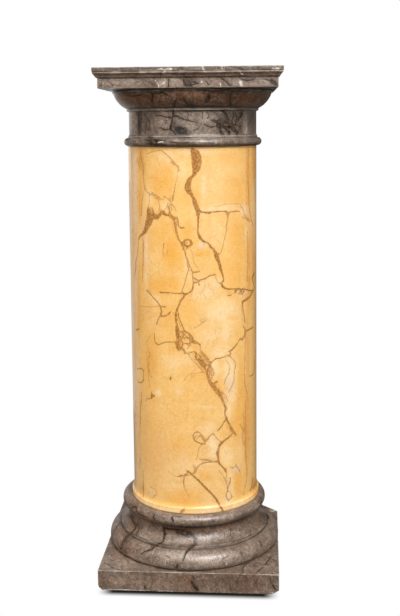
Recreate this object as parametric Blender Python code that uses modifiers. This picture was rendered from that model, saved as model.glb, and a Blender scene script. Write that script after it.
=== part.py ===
"""A standing marble column: a capital with a square abacus, a plain shaft and a base with a square plinth."""

import math

import bmesh
import bpy

# Overall dimensions, in metres, with +Z up and the front face towards -Y
plinth_half_width = 0.190
plinth_height = 0.0441
gap = 0.0003
turning_steps = 72

# The shaft and the capital stand a little to the right of the base, and the capital is turned a little
shaft_shift = 0.0035
capital_shift = 0.0049
capital_turn = math.radians(1.4)

# Base, from the floor up
lower_torus_height = 0.0391
lower_torus_radius = 0.190
lower_torus_widest = 0.0118
lower_torus_seat_radius = 0.1770
torus_arris_radius = 0.1660
lower_fillet_radius = 0.1650
lower_fillet_height = 0.0070
scotia_height = 0.0388
scotia_top_radius = 0.1455
scotia_waist_radius = 0.1405
scotia_foot_pull = 0.0035
upper_torus_height = 0.0242
upper_torus_radius = 0.1596

# Broken corners of the plinth
back_corner_cut = 0.0525
right_chip_width = 0.0160
right_chip_depth = 0.0160
right_chip_height = 0.0125
left_chip_width = 0.0090
left_chip_depth = 0.0110
left_chip_height = 0.0125

# Shaft
shaft_length = 0.7643
shaft_foot_radius = 0.1373
shaft_top_radius = 0.1347
foot_fillet_radius = 0.1420
foot_fillet_height = 0.0115
foot_flare_height = 0.0120

# Capital, from the shaft up
astragal_radius = 0.1440
astragal_height = 0.0166
neck_fillet_radius = 0.1352
neck_fillet_height = 0.0040
neck_radius = 0.1330
neck_height = 0.0501
neck_cove_width = 0.0006
neck_cove_drop = 0.0008
neck_cove_height = 0.0030
annulet_radius = 0.1376
annulet_height = 0.0052
echinus_foot_radius = 0.1388
echinus_top_radius = 0.1650
echinus_height = 0.0316
echinus_bulge = 0.0042
abacus_fillet_radius = 0.1668
abacus_fillet_height = 0.0043
fascia_half_width = 0.1728
fascia_height = 0.0191
moulding_height = 0.0082
moulding_half_width = 0.1806
bead_height = 0.0028
bead_half_width = 0.1813
groove_height = 0.0008
groove_half_width = 0.1805
band_height = 0.0079
band_half_width = 0.1819
union_overlap = 0.0100
fine_step = 0.0003


def clear_scene() -> None:
    """Removes everything that the startup scene holds."""
    for item in list(bpy.data.objects):
        bpy.data.objects.remove(item, do_unlink=True)


def new_collection(name: str) -> bpy.types.Collection:
    """Makes a collection and links it to the scene.

    Args:
        name: Name of the collection.

    Returns:
        The new collection.
    """
    collection = bpy.data.collections.new(name)
    bpy.context.scene.collection.children.link(collection)
    return collection


def marble(name: str, colour: tuple[float, float, float]) -> bpy.types.Material:
    """Makes a plain polished stone material.

    Args:
        name: Name of the material.
        colour: Linear base colour.

    Returns:
        The new material.
    """
    material = bpy.data.materials.new(name)
    material.use_nodes = True
    shader = material.node_tree.nodes["Principled BSDF"]
    shader.inputs["Base Color"].default_value = (*colour, 1.0)
    shader.inputs["Roughness"].default_value = 0.25
    material.diffuse_color = (*colour, 1.0)
    return material


def turned(
    name: str,
    profile: list[tuple[float, float]],
    steps: int,
    collection: bpy.types.Collection,
) -> bpy.types.Object:
    """Turns a profile round the Z axis.

    Args:
        name: Name of the object.
        profile: Radius and height of each point, from the top down the outside.
        steps: Number of sides.
        collection: Where the object goes.

    Returns:
        The turned object.
    """
    points = [(radius, 0.0, height) for radius, height in profile]
    mesh = bpy.data.meshes.new(name)
    mesh.from_pydata(points, [(i, i + 1) for i in range(len(points) - 1)], [])
    made = bpy.data.objects.new(name, mesh)
    collection.objects.link(made)
    screw = made.modifiers.new("Turn", "SCREW")
    screw.axis = "Z"
    screw.angle = math.tau
    screw.steps = steps
    screw.render_steps = steps
    screw.use_merge_vertices = True
    screw.merge_threshold = 0.00005
    screw.use_smooth_shade = True
    return made


def moulded_square(
    name: str, sections: list[tuple[float, float]], collection: bpy.types.Collection
) -> bpy.types.Object:
    """Builds a square block with mitred mouldings, as a profile turned in four steps.

    Args:
        name: Name of the object.
        sections: Half width and height of each level, from the top down.
        collection: Where the object goes.

    Returns:
        The block, whose sides need an eighth of a turn to face the axes.
    """
    corners = [(half * math.sqrt(2), height) for half, height in sections]
    profile = [(0.0, sections[0][1])] + corners + [(0.0, sections[-1][1])]
    return turned(name, profile, 4, collection)


def slab(
    name: str, half_width: float, height: float, collection: bpy.types.Collection
) -> bpy.types.Object:
    """Builds a square slab that stands on the floor.

    Args:
        name: Name of the object.
        half_width: Half of its width and of its depth.
        height: Its height.
        collection: Where the object goes.

    Returns:
        The slab.
    """
    work = bmesh.new()
    bmesh.ops.create_cube(work, size=1.0)
    bmesh.ops.translate(work, verts=work.verts, vec=(0.0, 0.0, 0.5))
    bmesh.ops.scale(work, verts=work.verts, vec=(2 * half_width, 2 * half_width, height))
    mesh = bpy.data.meshes.new(name)
    work.to_mesh(mesh)
    work.free()
    made = bpy.data.objects.new(name, mesh)
    collection.objects.link(made)
    return made


def cut_away(
    target: bpy.types.Object,
    point: tuple[float, float, float],
    normal: tuple[float, float, float],
) -> None:
    """Cuts off what lies beyond a plane and closes the cut.

    Args:
        target: Object whose mesh is cut.
        point: A point on the plane.
        normal: Direction in which the material is removed.
    """
    work = bmesh.new()
    work.from_mesh(target.data)
    everything = list(work.verts) + list(work.edges) + list(work.faces)
    cut = bmesh.ops.bisect_plane(
        work, geom=everything, plane_co=point, plane_no=normal, clear_outer=True
    )
    border = [part for part in cut["geom_cut"] if isinstance(part, bmesh.types.BMEdge)]
    bmesh.ops.contextual_create(work, geom=border)
    bmesh.ops.recalc_face_normals(work, faces=list(work.faces))
    work.to_mesh(target.data)
    work.free()


def join(target: bpy.types.Object, helper: bpy.types.Object) -> None:
    """Joins a hidden helper to an object with an exact Boolean.

    Args:
        target: Object that stays visible.
        helper: Object that is joined to it and hidden.
    """
    boolean = target.modifiers.new("Join", "BOOLEAN")
    boolean.operation = "UNION"
    boolean.solver = "EXACT"
    boolean.object = helper
    helper.hide_render = True
    helper.display_type = "WIRE"


def finish(target: bpy.types.Object, material: bpy.types.Material) -> None:
    """Turns modifiers into the mesh, shades it smooth with sharp arrises and sets the material.

    Args:
        target: Object to finish.
        material: Its material.
    """
    graph = bpy.context.evaluated_depsgraph_get()
    mesh = bpy.data.meshes.new_from_object(target.evaluated_get(graph))
    target.modifiers.clear()
    target.data = mesh
    mesh.name = target.name
    mesh.shade_smooth()
    mesh.set_sharp_from_angle(angle=math.radians(28))
    mesh.materials.clear()
    mesh.materials.append(material)


def arc(
    centre: tuple[float, float], radii: tuple[float, float], first: float, last: float, count: int
) -> list[tuple[float, float]]:
    """Lists points on an elliptical arc.

    Args:
        centre: Radius and height of the centre.
        radii: Half axes across and up.
        first: Angle of the first point in degrees, from outward towards up.
        last: Angle of the last point in degrees.
        count: Number of pieces.

    Returns:
        The points, with both ends.
    """
    found = []
    for step in range(count + 1):
        angle = math.radians(first + (last - first) * step / count)
        across = centre[0] + radii[0] * math.cos(angle)
        found.append((across, centre[1] + radii[1] * math.sin(angle)))
    return found


def bulged(
    start: tuple[float, float], end: tuple[float, float], bulge: float, count: int
) -> list[tuple[float, float]]:
    """Lists points on a circular arc between two points.

    Args:
        start: First point, above the last one.
        end: Last point.
        bulge: How far the middle stands out from the straight line.
        count: Number of pieces.

    Returns:
        The points, with both ends.
    """
    run = (end[0] - start[0], end[1] - start[1])
    chord = math.hypot(*run)
    outward = (-run[1] / chord, run[0] / chord)
    radius = chord * chord / (8 * bulge) + bulge / 2
    half = math.asin(chord / (2 * radius))
    found = []
    for step in range(count + 1):
        angle = half * (2 * step / count - 1)
        along = 0.5 + radius * math.sin(angle) / chord
        out = radius * math.cos(angle) - (radius - bulge)
        found.append(
            (start[0] + run[0] * along + outward[0] * out, start[1] + run[1] * along + outward[1] * out)
        )
    return found


def hollow(
    start: tuple[float, float],
    first_pull: tuple[float, float],
    second_pull: tuple[float, float],
    end: tuple[float, float],
    count: int,
) -> list[tuple[float, float]]:
    """Lists points on a cubic curve.

    Args:
        start: First point.
        first_pull: Control point of the start.
        second_pull: Control point of the end.
        end: Last point.
        count: Number of pieces.

    Returns:
        The points, with both ends.
    """
    found = []
    for step in range(count + 1):
        t = step / count
        weights = ((1 - t) ** 3, 3 * t * (1 - t) ** 2, 3 * t * t * (1 - t), t**3)
        corners = (start, first_pull, second_pull, end)
        across = sum(w * c[0] for w, c in zip(weights, corners))
        found.append((across, sum(w * c[1] for w, c in zip(weights, corners))))
    return found


def base_profile() -> list[tuple[float, float]]:
    """Lists the base's turned profile, from its top face down into the plinth.

    Returns:
        Radius and height of each point.
    """
    torus_bottom = plinth_height
    torus_top = torus_bottom + lower_torus_height
    fillet_top = torus_top + lower_fillet_height
    scotia_top = fillet_top + scotia_height
    top = scotia_top + upper_torus_height
    upper = upper_torus_height / 2
    widest = torus_bottom + lower_torus_widest
    upper_centre = (upper_torus_radius - upper, top - upper)
    shoulder = (lower_torus_radius - torus_arris_radius, torus_top - widest)
    undercut = (lower_torus_radius - lower_torus_seat_radius, lower_torus_widest)
    profile = [(0.0, top)]
    profile += arc(upper_centre, (upper, upper), 90, -90, 8)
    profile += hollow(
        (scotia_top_radius, scotia_top),
        (scotia_waist_radius, scotia_top - 0.34 * scotia_height),
        (scotia_waist_radius + scotia_foot_pull, scotia_top - 0.79 * scotia_height),
        (lower_fillet_radius, fillet_top),
        7,
    )
    profile += [(lower_fillet_radius, torus_top)]
    profile += arc((torus_arris_radius, widest), shoulder, 90, 0, 6)
    profile += arc((lower_torus_seat_radius, widest), undercut, 0, -90, 4)[1:]
    profile += [(lower_torus_seat_radius, torus_bottom - union_overlap)]
    profile += [(0.0, torus_bottom - union_overlap)]
    return profile


def build_base(parts: bpy.types.Collection, helpers: bpy.types.Collection) -> bpy.types.Object:
    """Builds the base: two tori, the hollow between them and the plinth.

    Args:
        parts: Collection of the visible pieces.
        helpers: Collection of the hidden helpers.

    Returns:
        The base.
    """
    base = turned("base", base_profile(), turning_steps, parts)
    plinth = slab("plinth_block", plinth_half_width, plinth_height, helpers)
    edge = plinth_half_width
    cut_away(plinth, (edge - back_corner_cut, edge, 0.0), (1.0, 1.0, 0.0))
    cut_away(
        plinth,
        (edge - right_chip_width, -edge, 0.0),
        (1 / right_chip_width, -1 / right_chip_depth, -1 / right_chip_height),
    )
    cut_away(
        plinth,
        (left_chip_width - edge, -edge, 0.0),
        (-1 / left_chip_width, -1 / left_chip_depth, -1 / left_chip_height),
    )
    join(base, plinth)
    return base


def build_shaft(parts: bpy.types.Collection, foot: float) -> bpy.types.Object:
    """Builds the shaft with the flare and the flat fillet at its foot.

    Args:
        parts: Collection of the visible pieces.
        foot: Height of the shaft's lower face.

    Returns:
        The shaft.
    """
    fillet_top = foot + foot_fillet_height
    flare_top = fillet_top + foot_flare_height
    flare = (foot_fillet_radius - shaft_foot_radius, foot_flare_height)
    profile = [(0.0, foot + shaft_length), (shaft_top_radius, foot + shaft_length)]
    profile += arc((foot_fillet_radius, flare_top), flare, 180, 270, 5)
    profile += [(foot_fillet_radius, foot), (0.0, foot)]
    shaft = turned("shaft", profile, turning_steps, parts)
    shaft.location = (shaft_shift, 0.0, 0.0)
    return shaft


def capital_profile(foot: float) -> list[tuple[float, float]]:
    """Lists the capital's turned profile, from inside the abacus down to its lower face.

    Args:
        foot: Height of the capital's lower face.

    Returns:
        Radius and height of each point.
    """
    bead = astragal_height / 2
    astragal_top = foot + astragal_height
    neck_foot = astragal_top + neck_fillet_height
    neck_top = neck_foot + neck_height
    echinus_foot = neck_top + annulet_height
    echinus_top = echinus_foot + echinus_height
    abacus_foot = echinus_top + abacus_fillet_height
    profile = [(0.0, abacus_foot + union_overlap), (abacus_fillet_radius, abacus_foot + union_overlap)]
    profile += [(abacus_fillet_radius, echinus_top)]
    shoulder = (echinus_top_radius, echinus_top - fine_step)
    profile += bulged(shoulder, (echinus_foot_radius, echinus_foot), echinus_bulge, 7)
    profile += [(annulet_radius, echinus_foot - fine_step), (annulet_radius, neck_top)]
    profile += [(neck_radius + neck_cove_width, neck_top - neck_cove_drop)]
    profile += [(neck_radius, neck_top - neck_cove_height), (neck_radius, neck_foot + neck_cove_height)]
    profile += [(neck_radius + neck_cove_width, neck_foot + neck_cove_drop)]
    profile += [(neck_fillet_radius, neck_foot), (neck_fillet_radius, astragal_top)]
    profile += arc((astragal_radius - bead, foot + bead), (bead, bead), 90, -90, 8)
    profile += [(0.0, foot)]
    return profile


def build_capital(
    parts: bpy.types.Collection, helpers: bpy.types.Collection, foot: float
) -> bpy.types.Object:
    """Builds the capital: astragal, neck, echinus and the moulded square abacus.

    Args:
        parts: Collection of the visible pieces.
        helpers: Collection of the hidden helpers.
        foot: Height of the capital's lower face.

    Returns:
        The capital.
    """
    capital = turned("capital", capital_profile(foot), turning_steps, parts)
    neck_top = foot + astragal_height + neck_fillet_height + neck_height
    abacus_foot = neck_top + annulet_height + echinus_height + abacus_fillet_height
    fascia_top = abacus_foot + fascia_height
    moulding_top = fascia_top + moulding_height
    bead_top = moulding_top + bead_height
    groove_top = bead_top + groove_height
    slope = moulding_half_width - fascia_half_width
    sections = [
        (band_half_width, groove_top + band_height),
        (band_half_width, groove_top),
        (groove_half_width, groove_top - fine_step),
        (groove_half_width, bead_top + fine_step),
        (bead_half_width, bead_top),
        (bead_half_width, moulding_top + fine_step),
        (moulding_half_width, moulding_top),
        (fascia_half_width + 0.66 * slope, fascia_top + 0.58 * moulding_height),
        (fascia_half_width + 0.50 * slope, fascia_top + 0.38 * moulding_height),
        (fascia_half_width + 0.40 * slope, fascia_top + 0.20 * moulding_height),
        (fascia_half_width + 0.20 * slope, fascia_top + fine_step),
        (fascia_half_width, fascia_top),
        (fascia_half_width, abacus_foot),
    ]
    abacus = moulded_square("abacus_block", sections, helpers)
    join(capital, abacus)
    capital.location = (capital_shift, 0.0, 0.0)
    capital.rotation_euler = (0.0, 0.0, capital_turn)
    abacus.location = (capital_shift, 0.0, 0.0)
    abacus.rotation_euler = (0.0, 0.0, capital_turn + math.radians(45))
    return capital


def main() -> None:
    """Builds the column in the scene."""
    clear_scene()
    parts = new_collection("marble_column")
    helpers = new_collection("helpers")
    base_top = plinth_height + lower_torus_height + lower_fillet_height
    base_top += scotia_height + upper_torus_height
    base = build_base(parts, helpers)
    shaft = build_shaft(parts, base_top + gap)
    capital = build_capital(parts, helpers, base_top + gap + shaft_length + gap)
    finish(base, marble("grey_marble_base", (0.26, 0.21, 0.17)))
    finish(shaft, marble("yellow_marble_shaft", (0.90, 0.56, 0.22)))
    finish(capital, marble("grey_marble_capital", (0.26, 0.21, 0.17)))


if __name__ == "__main__":
    main()
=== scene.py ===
"""Dresses the marble column: its stone skins, veins and polish, with the floor, the light and the camera."""

import logging
import math
from dataclasses import dataclass, field, replace
from enum import Enum

import bpy
import numpy as np
from mathutils import Matrix, Vector

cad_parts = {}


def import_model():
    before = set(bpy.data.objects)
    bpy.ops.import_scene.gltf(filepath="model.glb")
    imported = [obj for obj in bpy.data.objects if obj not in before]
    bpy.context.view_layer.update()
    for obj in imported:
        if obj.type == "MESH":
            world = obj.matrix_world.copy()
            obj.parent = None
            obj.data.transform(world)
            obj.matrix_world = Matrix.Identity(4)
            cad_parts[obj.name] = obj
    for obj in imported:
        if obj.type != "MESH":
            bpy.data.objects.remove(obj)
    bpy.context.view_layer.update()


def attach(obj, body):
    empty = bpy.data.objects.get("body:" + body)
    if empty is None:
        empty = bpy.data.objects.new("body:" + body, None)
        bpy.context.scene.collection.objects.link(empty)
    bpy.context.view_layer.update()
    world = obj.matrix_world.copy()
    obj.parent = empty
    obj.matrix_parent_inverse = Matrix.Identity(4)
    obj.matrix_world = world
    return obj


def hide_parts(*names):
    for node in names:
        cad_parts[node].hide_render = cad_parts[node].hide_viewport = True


LOG = logging.getLogger("marble_column")
MM = 0.001
# A profile has a corner where it turns by more than this many degrees.
SHARP = 24.0
# A turned part reaches this far into the square block beside it.
SUNK = 0.002
# A shorter side of a profile is a doubled point.
TINY = 1e-7
# The rounded corners of the squared blocks.
SQUARED_EASE = 0.9 * MM
# Rings stand at most this far apart, and rings nearer to the axis are left out of the flat end faces.
TURNED_STEP, TURNED_HEART = 2.4 * MM, 0.10
SQUARED_STEP, SQUARED_HEART = 2.2 * MM, 0.125
Points = np.ndarray
Triples = tuple[tuple[float, float, float], ...]
Row = tuple[float | tuple[float, ...], ...]
Colour = tuple[float, float, float]


class Stone(Enum):
    """The record's material slots."""

    CAPITAL = "grey_marble_capital"
    SHAFT = "yellow_marble_shaft"
    BASE = "grey_marble_base"


class Side(Enum):
    """The hidden sides that get random veins, as a turn round the column in degrees."""

    LEFT_BACK = -120.0
    RIGHT_BACK = 120.0


@dataclass(frozen=True)
class Viewpoint:
    """The place and direction that the column is seen from, with the picture's size in pixels."""

    place: tuple[float, float, float] = (0.15795, -1.99174, 0.96057)
    heading: float = 4.0514
    dip: float = 11.0852
    roll: float = -0.4974
    focal: float = 935.5167
    width: int = 400
    height: int = 616
    turn: float = 0.0

    def axes(self) -> tuple[Points, Points, Points, Points]:
        """Works out the camera's place, right, up and forward directions.

        Returns:
            The four vectors, turned round the Z axis by the viewpoint's turn.
        """
        a, p, r = (math.radians(v) for v in (self.heading, self.dip, self.roll))
        ahead = np.array([-math.sin(a) * math.cos(p), math.cos(a) * math.cos(p), -math.sin(p)])
        level = np.array([math.cos(a), math.sin(a), 0.0])
        lift = np.cross(level, ahead)
        right = level * math.cos(r) + lift * math.sin(r)
        up = lift * math.cos(r) - level * math.sin(r)
        spin = np.array(Matrix.Rotation(math.radians(self.turn), 3, "Z"))
        return spin @ np.array(self.place), spin @ right, spin @ up, spin @ ahead

    def picture(self, points: Points) -> tuple[Points, Points, Points]:
        """Projects points to the picture: the offset along each axis over the depth, times the focal length.

        Args:
            points: Points in metres, one per row.

        Returns:
            Each point's x and y in pixels, and its depth in metres.
        """
        place, right, up, ahead = self.axes()
        offset = points - place
        depth = offset @ ahead
        x = self.width / 2 + self.focal * (offset @ right) / depth
        return x, self.height / 2 - self.focal * (offset @ up) / depth, depth

    def facing(self, points: Points, normals: Points) -> Points:
        """Gives the cosine between each normal and the direction to the viewpoint."""
        sight = self.axes()[0] - points
        return (sight * normals).sum(1) / np.linalg.norm(sight, axis=1)

    def build(self) -> bpy.types.Object:
        """Makes the camera and gives it to the scene."""
        place, right, up, ahead = self.axes()
        data = bpy.data.cameras.new("picture_camera")
        data.sensor_width = 36.0
        data.lens = self.focal * data.sensor_width / self.height
        camera = add_object("picture_camera", data)
        turned = Matrix((right, up, -ahead)).transposed().to_4x4()
        turned.translation = Vector(place)
        camera.matrix_world = turned
        bpy.context.scene.camera = camera
        return camera


def add_object(name: str, data: bpy.types.ID) -> bpy.types.Object:
    """Makes an object of the data and links it to the scene."""
    made = bpy.data.objects.new(name, data)
    bpy.context.scene.collection.objects.link(made)
    return made


def lattice_noise(points: Points, cell: float, seed: int) -> Points:
    """Smooth noise: random values on a cubic lattice, blended between its corners by 3t^2 - 2t^3.

    Args:
        points: Points in metres, one per row.
        cell: Lattice spacing in metres.
        seed: Seed of the random values.

    Returns:
        A value between -1 and 1 for each point.
    """
    table = np.random.default_rng(seed).uniform(-1.0, 1.0, (32, 32, 32))
    scaled = points / cell + 1000.0
    low = np.floor(scaled).astype(int)
    t = scaled - low
    t = t * t * (3.0 - 2.0 * t)
    total = np.zeros(len(points))
    for corner in np.ndindex(2, 2, 2):
        index = (low + corner) % 32
        weight = np.prod(np.where(corner, t, 1.0 - t), axis=1)
        total += weight * table[index[:, 0], index[:, 1], index[:, 2]]
    return total


def arc(centre: tuple[float, float], radii: tuple[float, float], first: float, last: float) -> Points:
    """An elliptical arc of a profile: centre plus radii times the cosine and sine of an even run of angles.

    Args:
        centre: Radius and height of the centre.
        radii: Half axes across and up.
        first: First angle in degrees, from outward towards up.
        last: Last angle in degrees.

    Returns:
        Radius and height of each point.
    """
    angle = np.radians(np.linspace(first, last, round(abs(last - first) / 7.5) + 1))
    return np.stack([centre[0] + radii[0] * np.cos(angle), centre[1] + radii[1] * np.sin(angle)], 1)


def cubic(pulls: tuple[tuple[float, float], ...]) -> Points:
    """A cubic curve of a profile, by Bernstein's weights of its four control points."""
    t = np.linspace(0.0, 1.0, 25)[:, None]
    weights = np.hstack([(1 - t) ** 3, 3 * t * (1 - t) ** 2, 3 * t * t * (1 - t), t**3])
    return weights @ np.array(pulls)


def bulged(start: tuple[float, float], end: tuple[float, float], bulge: float) -> Points:
    """A shallow curve between two points: the straight line plus 4t(1 - t) of the bulge across it."""
    t = np.linspace(0.0, 1.0, 25)[:, None]
    a, b = np.array(start), np.array(end)
    run = b - a
    outward = np.array([-run[1], run[0]]) / np.linalg.norm(run)
    return a + run * t + outward * bulge * 4.0 * t * (1.0 - t)


def turns(profile: Points) -> Points:
    """Gives the degrees that a profile turns inward by at its inner points, below 0 in a hollow corner."""
    run = np.diff(profile, axis=0)
    heading = np.arctan2(run[:, 1], run[:, 0])
    return -np.degrees((np.diff(heading) + math.pi) % math.tau - math.pi)


def soften(profile: Points, radius: float) -> Points:
    """Rounds a profile's sharp corners: each becomes a small quadratic curve between its two sides.

    Args:
        profile: Radius and height of each point.
        radius: How far from the corner the rounding starts, at most 0.45 of a side.

    Returns:
        The rounded profile.
    """
    before, here, after = profile[:-2], profile[1:-1], profile[2:]
    back, ahead = before - here, after - here
    reach_back = np.linalg.norm(back, axis=1, keepdims=True)
    reach_ahead = np.linalg.norm(ahead, axis=1, keepdims=True)
    start = here + back / reach_back * np.minimum(radius, 0.45 * reach_back)
    end = here + ahead / reach_ahead * np.minimum(radius, 0.45 * reach_ahead)
    t = np.linspace(0.0, 1.0, 4)[None, :, None]
    curve = (1 - t) ** 2 * start[:, None] + 2 * t * (1 - t) * here[:, None] + t * t * end[:, None]
    curve = np.where((np.abs(turns(profile)) > SHARP)[:, None, None], curve, here[:, None])
    return np.vstack([profile[:1], curve.reshape(-1, 2), profile[-1:]])


def densify(profile: Points, step: float) -> Points:
    """Splits a profile's long sides so that no side is longer than the step, keeping its points."""
    sides = np.linalg.norm(np.diff(profile, axis=0), axis=1)
    keep = np.append(sides > TINY, True)
    profile, sides = profile[keep], sides[sides > TINY]
    along = np.append(0.0, np.cumsum(sides))
    count = np.append(0.0, np.cumsum(np.ceil(sides / step)))
    at = np.interp(np.arange(int(count[-1]) + 1), count, along)
    return np.stack([np.interp(at, along, profile[:, 0]), np.interp(at, along, profile[:, 1])], 1)


def corner_closeness(path: Points, corners: Points, reach: float) -> Points:
    """Closeness of points to the nearest corner: 1 at a corner, falling off by exp(-distance / reach)."""
    if not len(corners):
        return np.zeros(len(path))
    gap = np.linalg.norm(path[:, None] - corners[None], axis=2).min(1)
    return np.exp(-gap / reach)


def mark_closeness(path: Points, marks: Triples) -> Points:
    """Closeness of points to marks: the largest of exp(-(distance / reach)^2), with each mark's reach."""
    table = np.array(marks).reshape(-1, 3)
    gap = np.linalg.norm(path[:, None] - table[None, :, :2], axis=2) / table[None, :, 2]
    return np.exp(-gap * gap).max(1, initial=0.0)


def sharp_corners(profile: Points) -> tuple[Points, Points]:
    """Picks the profile's inner points where it turns sharply.

    Args:
        profile: Radius and height of each point.

    Returns:
        The arrises that stand out, and the hollow corners.
    """
    turned = turns(profile)
    return profile[1:-1][turned > SHARP], profile[1:-1][turned < -SHARP]


@dataclass(frozen=True)
class Nicks:
    """The loss along arrises from wear: two sizes of noise above a threshold, times the closeness to an
    arris.
    """

    coarse: float
    fine: float
    seed: int
    above: float
    depth: float

    def loss(self, points: Points, arris: Points) -> Points:
        """Gives how far wear takes each point back, in metres."""
        nick = lattice_noise(points, self.coarse, self.seed) * 0.7
        nick += lattice_noise(points, self.fine, self.seed + 1) * 0.5
        return np.clip(nick - self.above, 0.0, 1.0) * arris * self.depth


TURNED_NICKS = Nicks(7 * MM, 2.6 * MM, 11, 0.30, 1.1 * MM)
SQUARED_NICKS = Nicks(8 * MM, 2.8 * MM, 21, 0.25, 1.5 * MM)


@dataclass
class Skin:
    """A closed surface on a grid: rings of points from the top down, joined to a pole at each end."""

    name: str
    slot: Stone
    points: Points
    columns: int
    masks: dict[str, Points]
    made: bpy.types.Object | None = None

    @classmethod
    def close(
        cls, name: str, slot: Stone, rings: Points, columns: int, centre: float, profile: Points,
        masks: dict[str, Points],
    ) -> "Skin":
        """Closes a grid of rings with a pole at each end, at the heights of the profile's ends.

        Args:
            name: Name of the piece.
            slot: Its material slot.
            rings: Points in metres, ring by ring.
            columns: Number of points in a ring.
            centre: Where the poles stand along X.
            profile: Radius and height from the top pole to the foot pole.
            masks: By name, a value for each ring or for each point of the rings. A pole gets 0.

        Returns:
            The surface.
        """
        poles = [(centre, 0.0, profile[0, 1]), (centre, 0.0, profile[-1, 1])]
        spread = {}
        for key, mask in masks.items():
            each = mask if len(mask) == len(rings) else np.repeat(mask, columns)
            spread[key] = np.append(each, [0.0, 0.0])
        return cls(name, slot, np.vstack([rings, poles]), columns, spread)

    @property
    def node(self) -> str:
        """Gives the node that the surface stands for, named as its stone."""
        return self.slot.name.lower()

    def faces(self) -> tuple[Points, Points]:
        """Works out the faces: quads between neighbouring rings and a fan at each pole.

        Returns:
            The quads and the triangles, as vertex numbers. The poles are the last two vertices.
        """
        count = self.columns
        rows = (len(self.points) - 2) // count
        column = np.arange(count)
        after = (column + 1) % count
        row = np.arange(rows - 1)[:, None] * count
        quads = np.stack([row + column, row + count + column, row + count + after, row + after], 2)
        top, foot, last = rows * count, rows * count + 1, (rows - 1) * count
        fan = np.stack([np.full(count, top), column, after], 1)
        under = np.stack([np.full(count, foot), last + after, last + column], 1)
        return quads.reshape(-1, 4), np.vstack([fan, under])

    def build(self) -> bpy.types.Object:
        """Puts the surface into a mesh object and shades it smooth, with sharp arrises."""
        quads, triangles = self.faces()
        mesh = bpy.data.meshes.new(self.name)
        mesh.from_pydata(self.points, [], quads.tolist() + triangles.tolist())
        mesh.shade_smooth()
        mesh.set_sharp_from_angle(angle=math.radians(50.0))
        self.made = add_object(self.name, mesh)
        for mask, values in self.masks.items():
            self.store(mask, values)
        return self.made

    def normals(self) -> Points:
        """Reads the built mesh's vertex normals."""
        found = np.empty(len(self.points) * 3, np.float32)
        self.made.data.vertices.foreach_get("normal", found)
        return found.reshape(-1, 3).astype(float)

    def store(self, name: str, values: Points) -> None:
        """Writes values to the mesh as a named attribute of its points.

        Args:
            name: Name of the attribute.
            values: One number or one vector for each point.
        """
        kind, key = ("FLOAT", "value") if values.ndim == 1 else ("FLOAT_VECTOR", "vector")
        attribute = self.made.data.attributes.new(name, kind, "POINT")
        attribute.data.foreach_set(key, np.ascontiguousarray(values, np.float32).ravel())


def turned_skin(
    name: str, slot: Stone, profile: Points, centre: float, ease: float,
    shade_seams: Triples = (), glints: Triples = (),
) -> Skin:
    """Turns a profile round a vertical axis: x = centre + r cos a, y = r sin a, more finely at the front.

    Args:
        name: Name of the piece.
        slot: Its material slot.
        profile: Radius and height from the top pole down the outside to the foot pole.
        centre: Where the axis stands along X.
        ease: Rounding of the arrises.
        shade_seams: Radius, height and reach of more lines that get painted shade, at the joints and under
            the mouldings.
        glints: Radius, height and reach of lines painted pale as highlights.

    Returns:
        The surface.
    """
    corners, hollows = sharp_corners(profile)
    path = densify(soften(profile, ease), TURNED_STEP)
    inner = path[path[:, 0] > TURNED_HEART]
    angle = np.radians(np.append(np.arange(-196.0, 20.0, 1.0), np.arange(20.0, 164.0, 3.0)))
    x = centre + inner[:, :1] * np.cos(angle)
    y = inner[:, :1] * np.sin(angle)
    z = np.broadcast_to(inner[:, 1:], x.shape)
    rings = np.stack([x, y, z], 2).reshape(-1, 3)
    outward = np.stack([np.cos(angle), np.sin(angle), np.zeros(len(angle))], 1)
    arris = np.repeat(corner_closeness(inner, corners, 1.2 * MM), len(angle))
    rings = rings - np.tile(outward, (len(inner), 1)) * TURNED_NICKS.loss(rings, arris)[:, None]
    # Painted shade in the hollow corners and along the shade lines, and painted highlight along the glint
    # lines.
    crease = np.maximum(corner_closeness(inner, hollows, 1.0 * MM), mark_closeness(inner, shade_seams))
    masks = {"arris": arris, "crease": crease, "glint": mark_closeness(inner, glints)}
    return Skin.close(name, slot, rings, len(angle), centre, profile, masks)


@dataclass(frozen=True)
class Outline:
    """A square outline of half width 1, with the share that is cut off the corner at +X +Y."""

    cut: float = 0.0
    step: float = 0.0125

    def corners(self) -> Points:
        """Lists the outline's corners, anticlockwise from the front left."""
        plain = [(-1.0, -1.0), (1.0, -1.0)]
        back = [(1.0, 1.0 - self.cut), (1.0 - self.cut, 1.0)] if self.cut else [(1.0, 1.0)]
        return np.array(plain + back + [(-1.0, 1.0)])

    def path(self, ease: float) -> tuple[Points, Points]:
        """Walks the outline with rounded corners.

        Args:
            ease: Rounding of the corners, as a share of the half width.

        Returns:
            The points and their closeness to a corner.
        """
        corners = self.corners()
        ring = np.vstack([corners[-1:], corners, corners[:1]])
        middle = (ring[0] + ring[1]) / 2
        loop = np.vstack([middle, ring[1:-1], middle])
        walked = densify(soften(loop, ease), self.step)[:-1]
        return walked, corner_closeness(walked, corners, 0.009)


@dataclass(frozen=True)
class Chip:
    """A broken corner: what lies beyond a slanted plane is moved back to it, a little unevenly."""

    point: tuple[float, float, float]
    normal: tuple[float, float, float]

    def strike(self, points: Points) -> tuple[Points, Points]:
        """Moves points beyond the plane back along its normal.

        Args:
            points: Points in metres, one per row.

        Returns:
            The points after the blow, and how far each was moved.
        """
        normal = np.array(self.normal) / np.linalg.norm(self.normal)
        uneven = lattice_noise(points, 4 * MM, 5) * 0.5 * MM + lattice_noise(points, 1.7 * MM, 6) * 0.25 * MM
        beyond = (points - np.array(self.point)) @ normal + uneven
        moved = np.clip(beyond, 0.0, None)
        return points - moved[:, None] * normal, moved


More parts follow.
